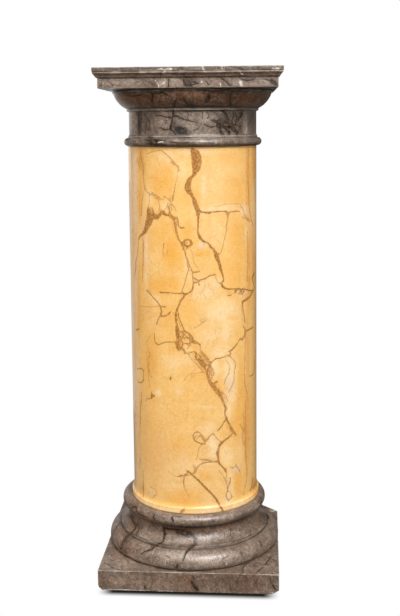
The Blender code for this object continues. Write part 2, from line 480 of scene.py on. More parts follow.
def squared_skin(
    name: str, slot: Stone, profile: Points, outline: Outline, centre: float, turn: float,
    chips: tuple[Chip, ...] = (), glints: Triples = (),
) -> Skin:
    """Carries a profile round a square outline: each level is the outline times its half width.

    Args:
        name: Name of the piece.
        slot: Its material slot.
        profile: Half width and height from the top pole down the outside to the foot pole.
        outline: Outline of half width 1.
        centre: Where the middle stands along X.
        turn: Turn round the vertical axis in degrees.
        chips: Broken corners.
        glints: Half width, height and reach of lines painted pale as highlights, partly as wear.

    Returns:
        The surface.
    """
    corners, hollows = sharp_corners(profile)
    path = densify(soften(profile, SQUARED_EASE), SQUARED_STEP)
    inner = path[path[:, 0] > SQUARED_HEART]
    ring, upright = outline.path(SQUARED_EASE / inner[:, 0].max())
    flat = ring[None] * inner[:, None, :1]
    height = np.broadcast_to(inner[:, None, 1:], flat.shape[:2] + (1,))
    rings = np.concatenate([flat, height], 2).reshape(-1, 3)
    level = corner_closeness(inner, corners, 1.4 * MM)
    arris = np.maximum(level[:, None], upright[None]).ravel()
    inward = rings - np.array([0.0, 0.0, profile[:, 1].mean()])
    inward[:, 2] = np.sign(inward[:, 2]) * np.abs(inward[:, :2]).max(1)
    inward /= np.linalg.norm(inward, axis=1, keepdims=True)
    rings = rings - inward * SQUARED_NICKS.loss(rings, arris)[:, None]
    for chip in chips:
        rings, moved = chip.strike(rings)
        arris = np.maximum(arris, np.clip(moved / (0.4 * MM), 0.0, 1.0))
    spin = np.array(Matrix.Rotation(math.radians(turn), 3, "Z"))
    rings = rings @ spin.T + np.array([centre, 0.0, 0.0])
    # Painted shade in the hollow corners, and painted highlight, partly wear, along the glint lines.
    masks = {
        "arris": arris,
        "crease": corner_closeness(inner, hollows, 1.0 * MM),
        "glint": mark_closeness(inner, glints),
    }
    return Skin.close(name, slot, rings, len(ring), centre, profile, masks)


@dataclass(frozen=True)
class Vein:
    """A vein as it is given in the picture: x, y and half width in pixels at each bend."""

    picks: Triples
    strength: float = 1.0


@dataclass(frozen=True)
class Patch:
    """A soft patch of colour in the picture: centre and half axes in pixels, and its turn in degrees."""

    x: float
    y: float
    across: float
    along: float
    strength: float = 1.0
    turn: float = 0.0


def draw_veins(*rows: Row) -> tuple[Vein, ...]:
    """Makes veins from rows: the strength, then x, y and the half width in tenths of a pixel at each bend.

    A bend without a half width keeps the one before it.
    """
    drawn = []
    for strength, *bends in rows:
        picks = []
        for x, y, *tenths in bends:
            picks.append((x, y, tenths[0] / 10 if tenths else picks[-1][2]))
        drawn.append(Vein(tuple(picks), strength))
    return tuple(drawn)


def draw_patches(*rows: tuple[float, ...]) -> tuple[Patch, ...]:
    """Makes patches from rows: centre and half axes, then strength and turn where they aren't 1 and 0."""
    return tuple(Patch(*row) for row in rows)


@dataclass
class VeinChart:
    """Carries veins given in the picture to the skins of one stone, and measures how far each point lies from
    them.

    A pick is carried to a vertex whose cosine to the viewpoint is over seen_above, and for a hidden side
    under hidden_below from the picture's own. The nearest one is taken, with its depth weighed by
    depth_weight. What is left is made up for up to longest_shift pixels, and a pick that misses by
    widest_miss pixels is dropped. Veins are measured within reach of a point, in metres.
    """

    skins: list[Skin]
    routes: list[tuple[Points, Points, float]] = field(default_factory=list)
    seen_above: float = 0.02
    hidden_below: float = -0.05
    depth_weight: float = 30.0
    longest_shift: float = 2.5
    widest_miss: float = 3.0
    far: float = 0.09
    reach: float = 0.012
    through: float = 2.0 * MM

    def lift(self, veins: list[Vein], view: Viewpoint, hidden_from: Viewpoint | None = None) -> None:
        """Finds the surface point under each pick: the nearest facing vertex, shifted by what is left.

        Args:
            veins: Veins given in the picture of that viewpoint.
            view: The viewpoint.
            hidden_from: A viewpoint that must not see the veins: picks in its sight are dropped.
        """
        points = np.vstack([skin.points for skin in self.skins])
        normals = np.vstack([skin.normals() for skin in self.skins])
        keep = view.facing(points, normals) > self.seen_above
        if hidden_from:
            keep &= hidden_from.facing(points, normals) < self.hidden_below
        points = points[keep]
        x, y, depth = view.picture(points)
        _, right, up, _ = view.axes()
        for vein in veins:
            picks = np.array(vein.picks)
            gap = (x[None] - picks[:, :1]) ** 2 + (y[None] - picks[:, 1:2]) ** 2
            near = np.argmin(gap + self.depth_weight * depth[None], axis=1)
            scale = (depth[near] / view.focal)[:, None]
            shift = (picks[:, :1] - x[near][:, None]) * right - (picks[:, 1:2] - y[near][:, None]) * up
            shift *= np.linalg.norm(shift, axis=1, keepdims=True) < self.longest_shift
            route = points[near] + shift * scale
            kept = gap[np.arange(len(picks)), near] < self.widest_miss**2
            if kept.sum() > 1:
                self.routes.append((route[kept], (picks[:, 2] * scale[:, 0])[kept], vein.strength))

    def measure(self, skin: Skin, prefix: str) -> None:
        """Stores each point's offset from the closest vein, that vein's half width, and the gap to its edge.

        The offset is the vector from the closest point of the route, without its part along the normal.

        Args:
            skin: Surface to measure.
            prefix: Start of the attributes' names.
        """
        points, normals = skin.points, skin.normals()
        offset = np.tile([self.far, 0.0, 0.0], (len(points), 1))
        size = np.full(len(points), 0.1 * MM)
        gap = np.full(len(points), self.far)
        depth = np.zeros(len(points))
        for route, widths, strength in self.routes:
            reach = self.reach + widths.max()
            low, high = route.min(0) - reach, route.max(0) + reach
            index = np.flatnonzero(((points > low) & (points < high)).all(1))
            if not len(index):
                continue
            here, facing = points[index], normals[index]
            for a, b, wide_a, wide_b in zip(route[:-1], route[1:], widths[:-1], widths[1:]):
                run = b - a
                t = np.clip((here - a) @ run / max(run @ run, 1e-12), 0.0, 1.0)
                away = here - a - t[:, None] * run
                through = (away * facing).sum(1)
                through = np.where(np.abs(through) < self.through, through, 0.0)
                away = away - through[:, None] * facing
                width = wide_a + (wide_b - wide_a) * t
                edge = np.linalg.norm(away, axis=1) - width
                closer = edge < gap[index]
                chosen = index[closer]
                offset[chosen], size[chosen] = away[closer], width[closer]
                gap[chosen], depth[chosen] = edge[closer], strength
        for ending, values in (("_offset", offset), ("_size", size), ("_gap", gap), ("_strength", depth)):
            skin.store(prefix + ending, values)


def wandering(seed: int, count: int, box: tuple[float, float, float, float], width: float) -> list[Vein]:
    """Random veins for a side that the picture doesn't show: walks whose heading drifts at every step.

    Args:
        seed: Seed of the walks.
        count: Number of veins.
        box: Left, top, right and bottom of where they start, in pixels.
        width: Usual half width in pixels.

    Returns:
        The veins.
    """
    rng = np.random.default_rng(seed)
    found = []
    for _ in range(count):
        steps = int(rng.integers(6, 16))
        heading = rng.uniform(0.0, math.tau) + np.cumsum(rng.normal(0.0, 0.34, steps))
        stride = rng.uniform(3.5, 8.0, steps)
        x = rng.uniform(box[0], box[2]) + np.cumsum(np.cos(heading) * stride)
        y = rng.uniform(box[1], box[3]) + np.cumsum(np.sin(heading) * stride * 1.2)
        thick = width * np.exp(rng.normal(0.0, 0.45, steps))
        found.append(Vein(tuple(zip(x.tolist(), y.tolist(), thick.tolist())), float(rng.uniform(0.5, 1.0))))
    return found


def store_patches(skin: Skin, name: str, patches: tuple[Patch, ...], view: Viewpoint) -> None:
    """Stores a soft mask: the largest of the patches' exp(-q), with q the squared distance in half axes.

    Args:
        skin: Surface that gets the mask.
        name: Name of the attribute.
        patches: Patches given in the picture.
        view: The picture's viewpoint.
    """
    x, y, _ = view.picture(skin.points)
    seen = np.clip(view.facing(skin.points, skin.normals()) * 6.0, 0.0, 1.0)
    total = np.zeros(len(skin.points))
    for patch in patches:
        a = math.radians(patch.turn)
        dx, dy = x - patch.x, y - patch.y
        u = (dx * math.cos(a) + dy * math.sin(a)) / patch.across
        v = (dy * math.cos(a) - dx * math.sin(a)) / patch.along
        total = np.maximum(total, patch.strength * np.exp(-((u * u + v * v) ** 1.5)))
    skin.store(name, total * seen)


@dataclass(frozen=True)
class Base:
    """The base: a square plinth with broken corners, two tori and the hollow between them."""

    half_width: float = 0.1900
    plinth_height: float = 0.0441
    back_cut: float = 0.0525
    seat_radius: float = 0.1770
    widest: float = 0.0118
    lower_radius: float = 0.1900
    lower_height: float = 0.0391
    arris_radius: float = 0.1660
    fillet_radius: float = 0.1650
    fillet_height: float = 0.0070
    hollow_height: float = 0.0388
    hollow_top_radius: float = 0.1455
    waist_radius: float = 0.1405
    foot_pull: float = 0.0035
    upper_radius: float = 0.1596
    upper_height: float = 0.0242
    chip_height: float = 0.0125
    right_chip: float = 0.0160
    left_chip: tuple[float, float] = (0.0090, 0.0110)

    def tops(self) -> list[float]:
        """Lists the heights of the upper edges of the plinth, lower torus, fillet, hollow and upper torus."""
        heights = (self.plinth_height, self.lower_height, self.fillet_height, self.hollow_height)
        return list(np.cumsum((*heights, self.upper_height)))

    def profile(self) -> Points:
        """Lists the turned part's profile, from its top face down into the plinth."""
        plinth_top, torus_top, fillet_top, hollow_top, top = self.tops()
        half = self.upper_height / 2
        widest = plinth_top + self.widest
        pulls = (
            (self.hollow_top_radius, hollow_top),
            (self.waist_radius, hollow_top - 0.34 * self.hollow_height),
            (self.waist_radius + self.foot_pull, hollow_top - 0.79 * self.hollow_height),
            (self.fillet_radius, fillet_top),
        )
        shoulder = (self.lower_radius - self.arris_radius, torus_top - widest)
        undercut = (self.lower_radius - self.seat_radius, self.widest)
        parts = [
            np.array([(0.0, top)]),
            arc((self.upper_radius - half, top - half), (half, half), 90.0, -90.0),
            cubic(pulls),
            np.array([(self.fillet_radius, torus_top)]),
            arc((self.arris_radius, widest), shoulder, 90.0, 0.0),
            arc((self.seat_radius, widest), undercut, 0.0, -90.0)[1:],
            np.array([(self.seat_radius, plinth_top - SUNK), (0.0, plinth_top - SUNK)]),
        ]
        return np.vstack(parts)

    def build(self) -> list[Skin]:
        """Builds the plinth and the turned part."""
        plinth_top, torus_top, fillet_top, hollow_top, _ = self.tops()
        w, across, deep = self.half_width, *self.left_chip
        lean, rise = 1 / self.right_chip, 1 / self.chip_height
        right = Chip((w - self.right_chip, -w, 0.0), (lean, -lean, -rise))
        left = Chip((across - w, -w, 0.0), (-1 / across, -1 / deep, -rise))
        square = np.array([(0.0, plinth_top), (w, plinth_top), (w, 0.0), (0.0, 0.0)])
        outline = Outline(self.back_cut / w)
        # Painted highlight, partly wear, along the plinth's top arris.
        worn = ((w, plinth_top, 1.3 * MM),)
        plinth = squared_skin("plinth_slab", Stone.BASE, square, outline, 0.0, 0.0, (right, left), worn)
        # Painted shade where the lower torus meets the plinth, at both ends of the fillet, and broadly under
        # the upper torus.
        shade_seams = (
            (self.seat_radius, plinth_top, 1.8 * MM),
            (self.arris_radius, torus_top, 1.3 * MM),
            (self.fillet_radius, fillet_top, 0.9 * MM),
            (self.hollow_top_radius, hollow_top, 8.5 * MM),
        )
        # Painted highlight on the fillet's face.
        glints = ((self.fillet_radius, torus_top + self.fillet_height * 0.6, 0.6 * MM),)
        return [plinth, turned_skin("base_turning", Stone.BASE, self.profile(), 0.0, 0.7 * MM, shade_seams, glints)]


@dataclass(frozen=True)
class Shaft:
    """The shaft: a plain tapered drum with a flare and a fillet at its foot."""

    foot: float = 0.1535
    length: float = 0.7643
    centre: float = 0.0035
    foot_radius: float = 0.1373
    top_radius: float = 0.1347
    fillet_radius: float = 0.1420
    fillet_height: float = 0.0115
    flare_height: float = 0.0120

    def profile(self) -> Points:
        """Lists the profile from the top face down to the foot."""
        top = self.foot + self.length
        flare_top = self.foot + self.fillet_height + self.flare_height
        flare = (self.fillet_radius - self.foot_radius, self.flare_height)
        parts = [
            np.array([(0.0, top), (self.top_radius, top)]),
            arc((self.fillet_radius, flare_top), flare, 180.0, 270.0),
            np.array([(self.fillet_radius, self.foot), (0.0, self.foot)]),
        ]
        return np.vstack(parts)

    def build(self) -> list[Skin]:
        """Builds the drum."""
        top = self.foot + self.length
        # Painted shade along the joints at the top and at the foot.
        shade_seams = ((self.top_radius, top, 2.4 * MM), (self.fillet_radius, self.foot, 1.6 * MM))
        return [turned_skin("shaft_stone", Stone.SHAFT, self.profile(), self.centre, 0.8 * MM, shade_seams)]


@dataclass(frozen=True)
class Capital:
    """The capital: astragal, neck, annulet, echinus and a moulded square abacus, a little off the axis."""

    foot: float = 0.9181
    centre: float = 0.0049
    turn: float = 1.4
    astragal_radius: float = 0.1440
    astragal_height: float = 0.0166
    neck_fillet_radius: float = 0.1352
    neck_fillet_height: float = 0.0040
    neck_radius: float = 0.1330
    neck_height: float = 0.0501
    cove: tuple[float, float, float] = (0.0006, 0.0008, 0.0030)
    annulet_radius: float = 0.1376
    annulet_height: float = 0.0052
    echinus_foot_radius: float = 0.1388
    echinus_top_radius: float = 0.1650
    echinus_height: float = 0.0316
    echinus_bulge: float = 0.0042
    abacus_fillet_radius: float = 0.1668
    abacus_fillet_height: float = 0.0043
    fascia_half: float = 0.1728
    fascia_height: float = 0.0191
    moulding_half: float = 0.1806
    moulding_height: float = 0.0082
    bead_half: float = 0.1813
    bead_height: float = 0.0028
    groove_half: float = 0.1805
    groove_height: float = 0.0008
    band_half: float = 0.1819
    band_height: float = 0.0079
    fine: float = 0.0003
    cyma: tuple[tuple[float, float], ...] = ((0.66, 0.58), (0.50, 0.38), (0.40, 0.20), (0.20, 0.035))

    def tops(self) -> dict[str, float]:
        """Gives the height of each part's upper edge, by the part's name."""
        parts = ("astragal", "neck_fillet", "neck", "annulet", "echinus", "abacus_fillet")
        parts += ("fascia", "moulding", "bead", "groove", "band")
        heights = [getattr(self, part + "_height") for part in parts]
        return dict(zip(parts, self.foot + np.cumsum(heights)))

    def turned_profile(self) -> Points:
        """Lists the turned part's profile, from inside the abacus down to the foot."""
        top = self.tops()
        bead = self.astragal_height / 2
        inside = top["abacus_fillet"] + SUNK
        fillet = self.abacus_fillet_radius
        wide, drop, reach = self.cove
        shoulder = (self.echinus_top_radius, top["echinus"] - self.fine)
        straight = [
            (self.annulet_radius, top["annulet"] - self.fine),
            (self.annulet_radius, top["neck"]),
            (self.neck_radius + wide, top["neck"] - drop),
            (self.neck_radius, top["neck"] - reach),
            (self.neck_radius, top["neck_fillet"] + reach),
            (self.neck_radius + wide, top["neck_fillet"] + drop),
            (self.neck_fillet_radius, top["neck_fillet"]),
            (self.neck_fillet_radius, top["astragal"]),
        ]
        parts = [
            np.array([(0.0, inside), (fillet, inside), (fillet, top["echinus"])]),
            bulged(shoulder, (self.echinus_foot_radius, top["annulet"]), self.echinus_bulge),
            np.array(straight),
            arc((self.astragal_radius - bead, self.foot + bead), (bead, bead), 90.0, -90.0),
            np.array([(0.0, self.foot)]),
        ]
        return np.vstack(parts)

    def abacus_profile(self) -> Points:
        """Lists the abacus's half width and height at each arris, from the top face down."""
        top = self.tops()
        slope = self.moulding_half - self.fascia_half
        cyma = [
            (self.fascia_half + share * slope, top["fascia"] + rise * self.moulding_height)
            for share, rise in self.cyma
        ]
        steps = [(0.0, top["band"]), (self.band_half, top["band"]), (self.band_half, top["groove"])]
        steps += [(self.groove_half, top["groove"] - self.fine), (self.groove_half, top["bead"] + self.fine)]
        steps += [(self.bead_half, top["bead"]), (self.bead_half, top["moulding"] + self.fine)]
        steps += [(self.moulding_half, top["moulding"]), *cyma, (self.fascia_half, top["fascia"])]
        steps += [(self.fascia_half, top["abacus_fillet"]), (0.0, top["abacus_fillet"])]
        return np.array(steps)

    def build(self) -> list[Skin]:
        """Builds the turned part and the abacus."""
        top = self.tops()
        # Painted shade under the astragal, under the abacus and at the foot of the echinus.
        shade_seams = (
            (self.echinus_foot_radius, self.foot, 5.5 * MM),
            (self.abacus_fillet_radius, top["abacus_fillet"], 4.6 * MM),
            (self.echinus_foot_radius, top["annulet"], 3.4 * MM),
        )
        # Painted highlights on the annulet, the neck fillet and the top of the astragal.
        glints = (
            (self.annulet_radius, top["neck"] + self.annulet_height / 2, 1.8 * MM),
            (self.neck_fillet_radius, top["neck_fillet"], 2.6 * MM),
            (self.neck_fillet_radius + 3 * MM, top["astragal"], 2.4 * MM),
        )
        cyma_half = (self.fascia_half + self.moulding_half) / 2
        # Painted highlights on the bead, the cyma and the lower edge of the fascia.
        worn = (
            (self.bead_half, top["bead"] - self.bead_height / 2, 1.6 * MM),
            (cyma_half, top["fascia"] + 0.38 * self.moulding_height, 0.8 * MM),
            (self.fascia_half, top["abacus_fillet"], 1.0 * MM),
        )
        name, turned, middle = "capital_turning", self.turned_profile(), self.centre
        drum = turned_skin(name, Stone.CAPITAL, turned, middle, 0.6 * MM, shade_seams, glints)
        name, square, turn = "abacus_slab", self.abacus_profile(), self.turn
        return [squared_skin(name, Stone.CAPITAL, square, Outline(), middle, turn, glints=worn), drum]


SHAFT_VEINS = draw_veins(
    (1, (192.2, 148.5, 16), (193.5, 151, 30), (195.6, 154, 49), (196.4, 158, 55), (196.6, 163, 54),
        (196.4, 168, 44), (194.9, 171, 29), (194.6, 174, 22), (192.4, 176.3, 13), (190.3, 178.5, 20),
        (189.2, 181, 27), (188, 185, 31), (187.4, 188, 32), (189, 191, 30), (190.6, 193.5, 20),
        (192.3, 196, 12), (194, 200, 19), (195.2, 204, 25), (196.8, 208), (198.2, 211, 23),
        (198.1, 214.5, 20), (198.2, 218, 9), (198, 224, 7), (197.8, 230, 6), (198.3, 234, 10),
        (199.8, 237.5, 15), (203, 241, 13), (205.3, 242.3, 10)),
    (1, (207.5, 242.5, 6), (210.5, 246.5, 12), (213.5, 249.5, 10), (215.5, 253, 18), (216.7, 257, 26),
        (218.5, 261, 18), (219.8, 265, 15), (220.5, 269, 16), (222, 273, 8), (223.3, 278, 7),
        (223.5, 281, 6), (221.4, 283, 8), (222.3, 286, 11), (224.5, 288, 10), (227, 289, 7), (233, 289, 6),
        (237, 288.8, 9), (241, 289.3), (245, 289, 7), (249, 290.5, 6), (254, 290.3, 8)),
    (1, (148.6, 207, 10), (148.6, 211, 28), (149.2, 215, 42), (149.5, 219, 50), (148.2, 223, 46),
        (146.8, 227, 33), (145.2, 231, 26), (143, 233.7, 15), (140, 236.5, 10), (138.7, 240, 8)),
    (0.5, (138.7, 240, 8), (137.8, 246, 7), (137.5, 254, 8), (136, 262, 12), (135.3, 270, 16),
        (134.8, 277, 8)),
    (0.9, (152, 208, 8), (153.4, 212, 12), (154.6, 217, 26), (157, 217.5, 22), (160, 214.5, 18),
        (163, 212, 19), (165.5, 214.8, 13), (169, 215.7, 9)),
    (0.85, (168.5, 205.5, 5), (169, 210, 6), (170.8, 214.5, 7), (174, 217.5), (177, 217.3), (178, 221),
        (178.6, 226), (181, 228, 9), (183.8, 227.5, 7)),
    (0.75, (169.3, 213, 7), (171.5, 217.8, 11), (174, 219.2), (175, 224), (176, 230), (177.3, 236),
        (178.8, 239.5, 9), (181, 243, 7), (183.6, 249), (185.2, 253, 6), (186, 257, 7), (188, 261, 9),
        (189.5, 266), (188.3, 267.5, 6)),
    (1, (183, 243, 13), (185, 240.6, 10), (188, 239.5, 9), (190.8, 241, 12), (191.6, 244.3), (188.5, 246, 9),
        (185.8, 246), (183.6, 244.6, 12)),
    (0.8, (187, 246.5, 8), (186.9, 249, 5)),
    (0.8, (191.5, 269, 5), (192.3, 272.3, 7), (196, 272.2, 6), (199.5, 271.3)),
    (0.7, (192.3, 273, 5), (192.6, 277, 6), (193.2, 281)),
    (0.85, (193, 277, 5), (197, 280, 6), (199.7, 281, 8), (198, 282.6), (193.7, 282.6, 7)),
    (0.7, (198.5, 283, 5), (199.3, 285.5)),
    (0.9, (193.3, 283, 6), (192.7, 288, 8), (191.6, 291), (188.7, 292.8, 7), (185.5, 294.5, 8),
        (183, 298, 9), (180.6, 301, 10), (178.5, 306, 8), (176.5, 311), (175.8, 315, 12), (175.8, 320),
        (177, 325), (178, 330, 14), (178.3, 336, 16), (178, 341, 11), (178.2, 345, 10), (177.5, 347, 19),
        (178.6, 349.6, 13)),
    (0.8, (199.7, 279.8, 6), (205, 278.8), (210, 275.5), (215.3, 274.6, 7)),
    (0.5, (215.5, 274.5, 5), (216, 279), (218, 283, 4), (221.5, 282.8, 5)),
    (0.8, (178, 312, 5), (179.2, 318), (181.5, 324, 6), (184.2, 330, 7), (186, 332), (189.2, 333.8, 8),
        (190, 336, 5)),
    (0.7, (183, 330, 7), (183.4, 335, 9), (181.3, 339.5, 7), (178.5, 342)),
    (0.8, (185, 338.6, 8), (190, 337.8, 7), (193, 340, 8), (197, 342.3, 6), (200, 345, 9)),
    (0.7, (190, 341, 7), (190, 345.5, 8), (187.8, 348.3, 6)),
    (0.75, (180.7, 347, 8), (184.3, 349.6), (184.7, 353.6, 6), (190, 352.8, 5), (194.8, 351.3, 6),
        (196, 354.5, 7), (196, 359, 8)),
    (0.6, (200.2, 345, 5), (200.5, 351, 6), (201.5, 354, 11), (205, 358, 13), (208.5, 362, 12),
        (210.5, 365, 9)),
    (1.2, (198.8, 359, 7), (201.5, 363, 11), (204.5, 366, 14)),
    (0.8, (210.5, 365.5, 7), (208.7, 368.5, 10), (207, 372.5), (208.3, 378, 12), (210, 382, 18),
        (213, 386, 22), (216.3, 390, 28), (219.5, 394, 26), (221.6, 398, 16), (223.2, 402, 12), (224.7, 406),
        (225.8, 408.5, 16), (224.8, 412, 9), (225, 415, 8), (226.3, 418, 14), (227.6, 421.5, 8),
        (229.6, 425, 13), (231.8, 430, 17), (234.5, 433, 12), (236, 435, 8)),
    (0.6, (210.5, 366, 6), (213, 370, 8), (214, 374, 7), (211.7, 379, 6)),
    (0.85, (209, 365, 7), (212, 361.6, 6), (216, 358.6), (221, 358, 5), (226, 356), (229.3, 355.4)),
    (1.2, (214.6, 383.3, 8), (217, 381.6, 9)),
    (1.2, (254.8, 272.5, 10), (253.5, 275.5, 16), (252, 277.3, 14)),
    (0.9, (252, 278.3, 8), (253.6, 283, 7), (254.6, 288), (252.5, 292.5, 9), (249.6, 297, 14), (246, 299.6),
        (242.4, 302, 12), (243, 308, 6), (244, 315), (245, 323)),
    (0.45, (242, 302, 5), (241.5, 310, 4), (242, 320)),
    (0.8, (243, 326, 6), (245.2, 328.7, 10), (244.8, 332.5), (244, 336.5), (242, 339.5, 11),
        (240.3, 338.5, 7), (237.8, 343, 8), (234, 347.5, 9), (231.3, 350.3), (229.3, 351.6, 8)),
    (0.85, (245.2, 331.5, 9), (249, 329.6, 10), (253, 327, 8)),
    (0.6, (229.5, 356, 4), (233, 359.5), (235.6, 363, 7), (235, 367.5, 6), (234.3, 373, 4), (234, 380)),
    (0.8, (255, 360, 8), (254.5, 368), (253.5, 374, 7), (250, 376.5, 6)),
    (0.5, (244.7, 356, 5), (244.2, 375), (244.6, 385), (247.5, 394, 6), (248.3, 402, 5)),
    (0.8, (146.5, 290, 7), (149.5, 293), (153, 297, 6), (157, 301.5, 7), (160.3, 306, 8), (161.6, 311),
        (160, 316, 9), (158, 320, 7), (156.5, 324.5, 6)),
    (0.85, (160.5, 316.5, 7), (165, 316), (168.6, 314, 9), (170.7, 312, 5)),
    (0.9, (159.8, 292.4, 6), (170, 292.9), (180, 293.6), (186, 293.5, 5)),
    (0.7, (161, 306.5, 5), (165.5, 306.8, 8)),
    (0.8, (154.5, 333, 6), (154.2, 338, 5), (155.6, 343, 6), (158.5, 345), (162, 343.4), (166, 342),
        (172, 342.3), (178, 341.6, 8)),
    (0.7, (137.3, 368.7, 5), (141.8, 368.5, 6), (143.6, 370.5, 8), (143.6, 376, 4), (143.5, 380.3, 10),
        (141, 382.8, 6), (138, 382.3, 5)),
    (1.2, (151.5, 392.5, 5), (151.8, 395, 11), (151.5, 397.5, 12)),
    (1.1, (152, 396.2, 12), (154.5, 395.6, 8)), (0.6, (150, 398.7, 5), (146.2, 398.8), (145.5, 401)),
    (0.6, (141.5, 392, 4), (141.4, 400, 7), (140.2, 408, 8), (140, 416), (140.2, 426, 5)),
    (1.2, (170.5, 377.8, 9), (170.5, 379.3, 8)),
    (0.45, (194.3, 328, 5), (198, 326), (203, 322.3), (207.6, 319.6, 4)),
    (0.5, (200, 320.3, 4), (206, 317.4)),
    (0.75, (201, 434, 5), (198, 431.7, 6), (194.7, 432.7, 7), (192.9, 436, 8), (194.2, 440, 7),
        (197.3, 442.2, 6), (201, 443.6), (205, 443.8, 5)),
    (0.65, (199.8, 432.5, 6), (202, 436, 10), (203.7, 439.5, 14), (205.5, 441.3, 9)),
    (0.6, (197.5, 437.5, 6), (200, 435.5, 7)),
    (0.65, (205, 442, 7), (208, 439, 8), (209.2, 436.5), (212.3, 433.8, 6)),
    (0.45, (205, 443.5, 4), (201.5, 445), (199, 448.5, 5), (197.5, 454, 4), (196.5, 460)),
    (0.6, (213, 433, 5), (216, 437.2, 4), (219.3, 440.7, 5)),
    (0.85, (226.2, 418.5, 8), (224, 422, 7), (221, 427), (217.6, 430.6)),
    (0.95, (231.5, 435, 7), (228, 438, 8), (224.6, 440.5, 11), (221.5, 443.3, 13), (219.2, 446, 12),
        (218.2, 450, 15), (217.5, 453.3, 19), (218.2, 457, 10), (218.6, 461, 11), (219.6, 464, 8),
        (222.6, 466.7, 7), (225, 470), (225.6, 472, 5)),
    (0.65, (218.5, 461.7, 7), (213, 461.2, 5), (207, 459.6), (200, 459, 4)),
    (0.7, (216, 462, 5), (209, 462, 6), (203, 463.2, 7), (199.5, 465, 5), (196.8, 468, 9),
        (195.2, 471.5, 11), (193, 474.5, 8)),
    (0.5, (193.6, 465, 6), (194.5, 469, 10), (195, 472, 9)),
    (1.1, (187.3, 471, 9), (190, 473, 8), (194, 476.6), (199, 481), (203, 485.3, 10), (208, 490.3, 9),
        (213, 495), (216, 499, 10), (218.5, 503, 13), (220.5, 506.5, 10), (223.8, 512.5, 11)),
    (0.85, (178, 476.6, 5), (182, 475.5, 9), (184.5, 475.5, 8), (187, 473.2, 6), (188.5, 471.3)),
    (0.75, (184.5, 476.5, 6), (183.5, 481), (184, 485.5, 5)), (0.6, (184.7, 476.3, 5), (189.5, 475, 4)),
    (0.75, (230.3, 478, 6), (230, 482, 10), (228.2, 486.5, 9), (227.6, 491, 7)),
    (0.5, (226, 478, 4), (226.5, 484), (227.3, 488)),
    (0.8, (143, 484, 6), (142.8, 489, 10), (143.2, 495, 7)),
    (0.6, (140.3, 458, 5), (139.5, 464, 9), (139, 469, 4)),
    (0.6, (184.5, 508.5, 10), (183.2, 510.6, 16), (181, 512.3, 14)),
    (0.45, (252.5, 487.5, 24), (255.8, 484, 16)),
    (0.6, (162, 151, 5), (167, 155, 6), (172, 160, 5), (175.2, 164, 6), (178.3, 167), (179.3, 171, 4)),
    (0.6, (171, 162.3, 5), (174.5, 165), (178, 165.8, 7)),
    (0.6, (175.3, 184, 4), (174.2, 191), (173, 197.5, 7), (172.8, 201, 6)),
    (0.55, (152, 192.3, 6), (156, 195.2, 7), (160.5, 198.6), (164, 199.8, 4)),
    (0.5, (154, 197.5, 6), (160.3, 200.2, 5)), (0.6, (167.8, 203, 5), (167, 206, 4), (165.8, 209, 5)),
    (1, (200.3, 211.5, 8), (204, 212.4, 6), (208.5, 212.9, 13), (211, 212.4, 7), (218, 211.5, 5),
        (226, 211.3, 6)),
    (0.8, (226.3, 211.3, 6), (228, 213.5, 12), (231, 211.8, 6), (236, 211.3), (240, 211.3, 5)),
    (0.55, (226, 213.6, 7), (228.3, 215, 12), (227.6, 219, 9), (226.6, 226, 6), (226.3, 232),
        (224.7, 238, 5), (223, 246), (221, 251.5), (219.5, 254.5)),
    (0.5, (240.5, 206, 5), (243, 209, 6), (244, 214), (247, 218, 7), (250.3, 221)),
    (0.6, (242, 217, 5), (246, 219, 6), (249.5, 222, 5)),
    (0.35, (140.5, 151, 10), (141, 157, 16), (142.3, 163, 18), (143.5, 169, 12), (144, 174, 6)),
    (0.5, (147, 154, 5), (152, 151.7), (160, 150.3)), (0.5, (137, 158, 6), (138.5, 163, 9), (139.5, 167, 6)),
    (0.7, (163.8, 243, 5), (163.6, 248, 6)), (0.5, (162.7, 250, 4), (163.5, 256.5, 5)),
    (0.4, (167.7, 250, 5), (166.8, 256, 4)),
    (0.5, (144, 243, 5), (143.9, 248, 7), (143.4, 256, 5), (143.5, 261), (142.8, 267, 7)),
    (0.8, (136.5, 330, 8), (138.5, 329)),
    (0.4, (150.5, 352, 5), (148.8, 360, 6), (149, 369, 5), (151.3, 377, 6)),
    (0.45, (243.5, 415, 5), (245, 440), (245.4, 456, 6), (247.2, 470), (246.6, 480, 5), (243.8, 495)),
    (0.8, (235, 293, 7), (237, 290, 10)), (0.8, (239, 294, 7), (241, 291, 10)),
    (0.9, (242, 294.3, 8), (244.2, 291, 9)), (0.7, (228, 295.6, 7), (231, 295.2, 6)),
    (0.9, (176, 327, 8), (176.5, 333, 10), (177.5, 339, 12), (176.5, 344, 10)),
    (0.8, (180, 331, 5), (184, 334, 6), (188, 338), (192, 342), (196, 344, 5)),
    (0.8, (187, 332, 6), (190, 334.5, 8), (193, 338, 6), (192, 342), (188, 344), (184, 343)),
    (0.8, (181, 340, 6), (183, 344, 7), (181, 348, 6), (184, 351, 5)),
    (0.7, (196, 353, 5), (199, 355), (202, 359, 6), (205, 363), (208, 366, 5)),
    (1, (195, 356, 5), (198, 361, 6), (201, 364.5, 9), (204, 367), (206, 370, 6)),
    (1.3, (201.5, 361.5, 12), (203.5, 364, 13)), (0.8, (200, 350, 5), (204, 354, 6), (208, 359), (211, 364)),
    (0.7, (208, 368, 5), (211, 372, 6), (211.5, 377, 5), (209, 381, 6)),
    (0.55, (141, 152, 7), (143, 170, 8), (144, 186, 6), (147, 192, 5), (154, 196)),
    (0.5, (145, 186, 5), (142, 200, 6), (141, 216, 5)),
    (0.5, (142.8, 240, 5), (143, 262, 7), (142.4, 282, 5)),
    (0.4, (146.5, 352, 4), (148, 372, 6), (150, 388, 5)),
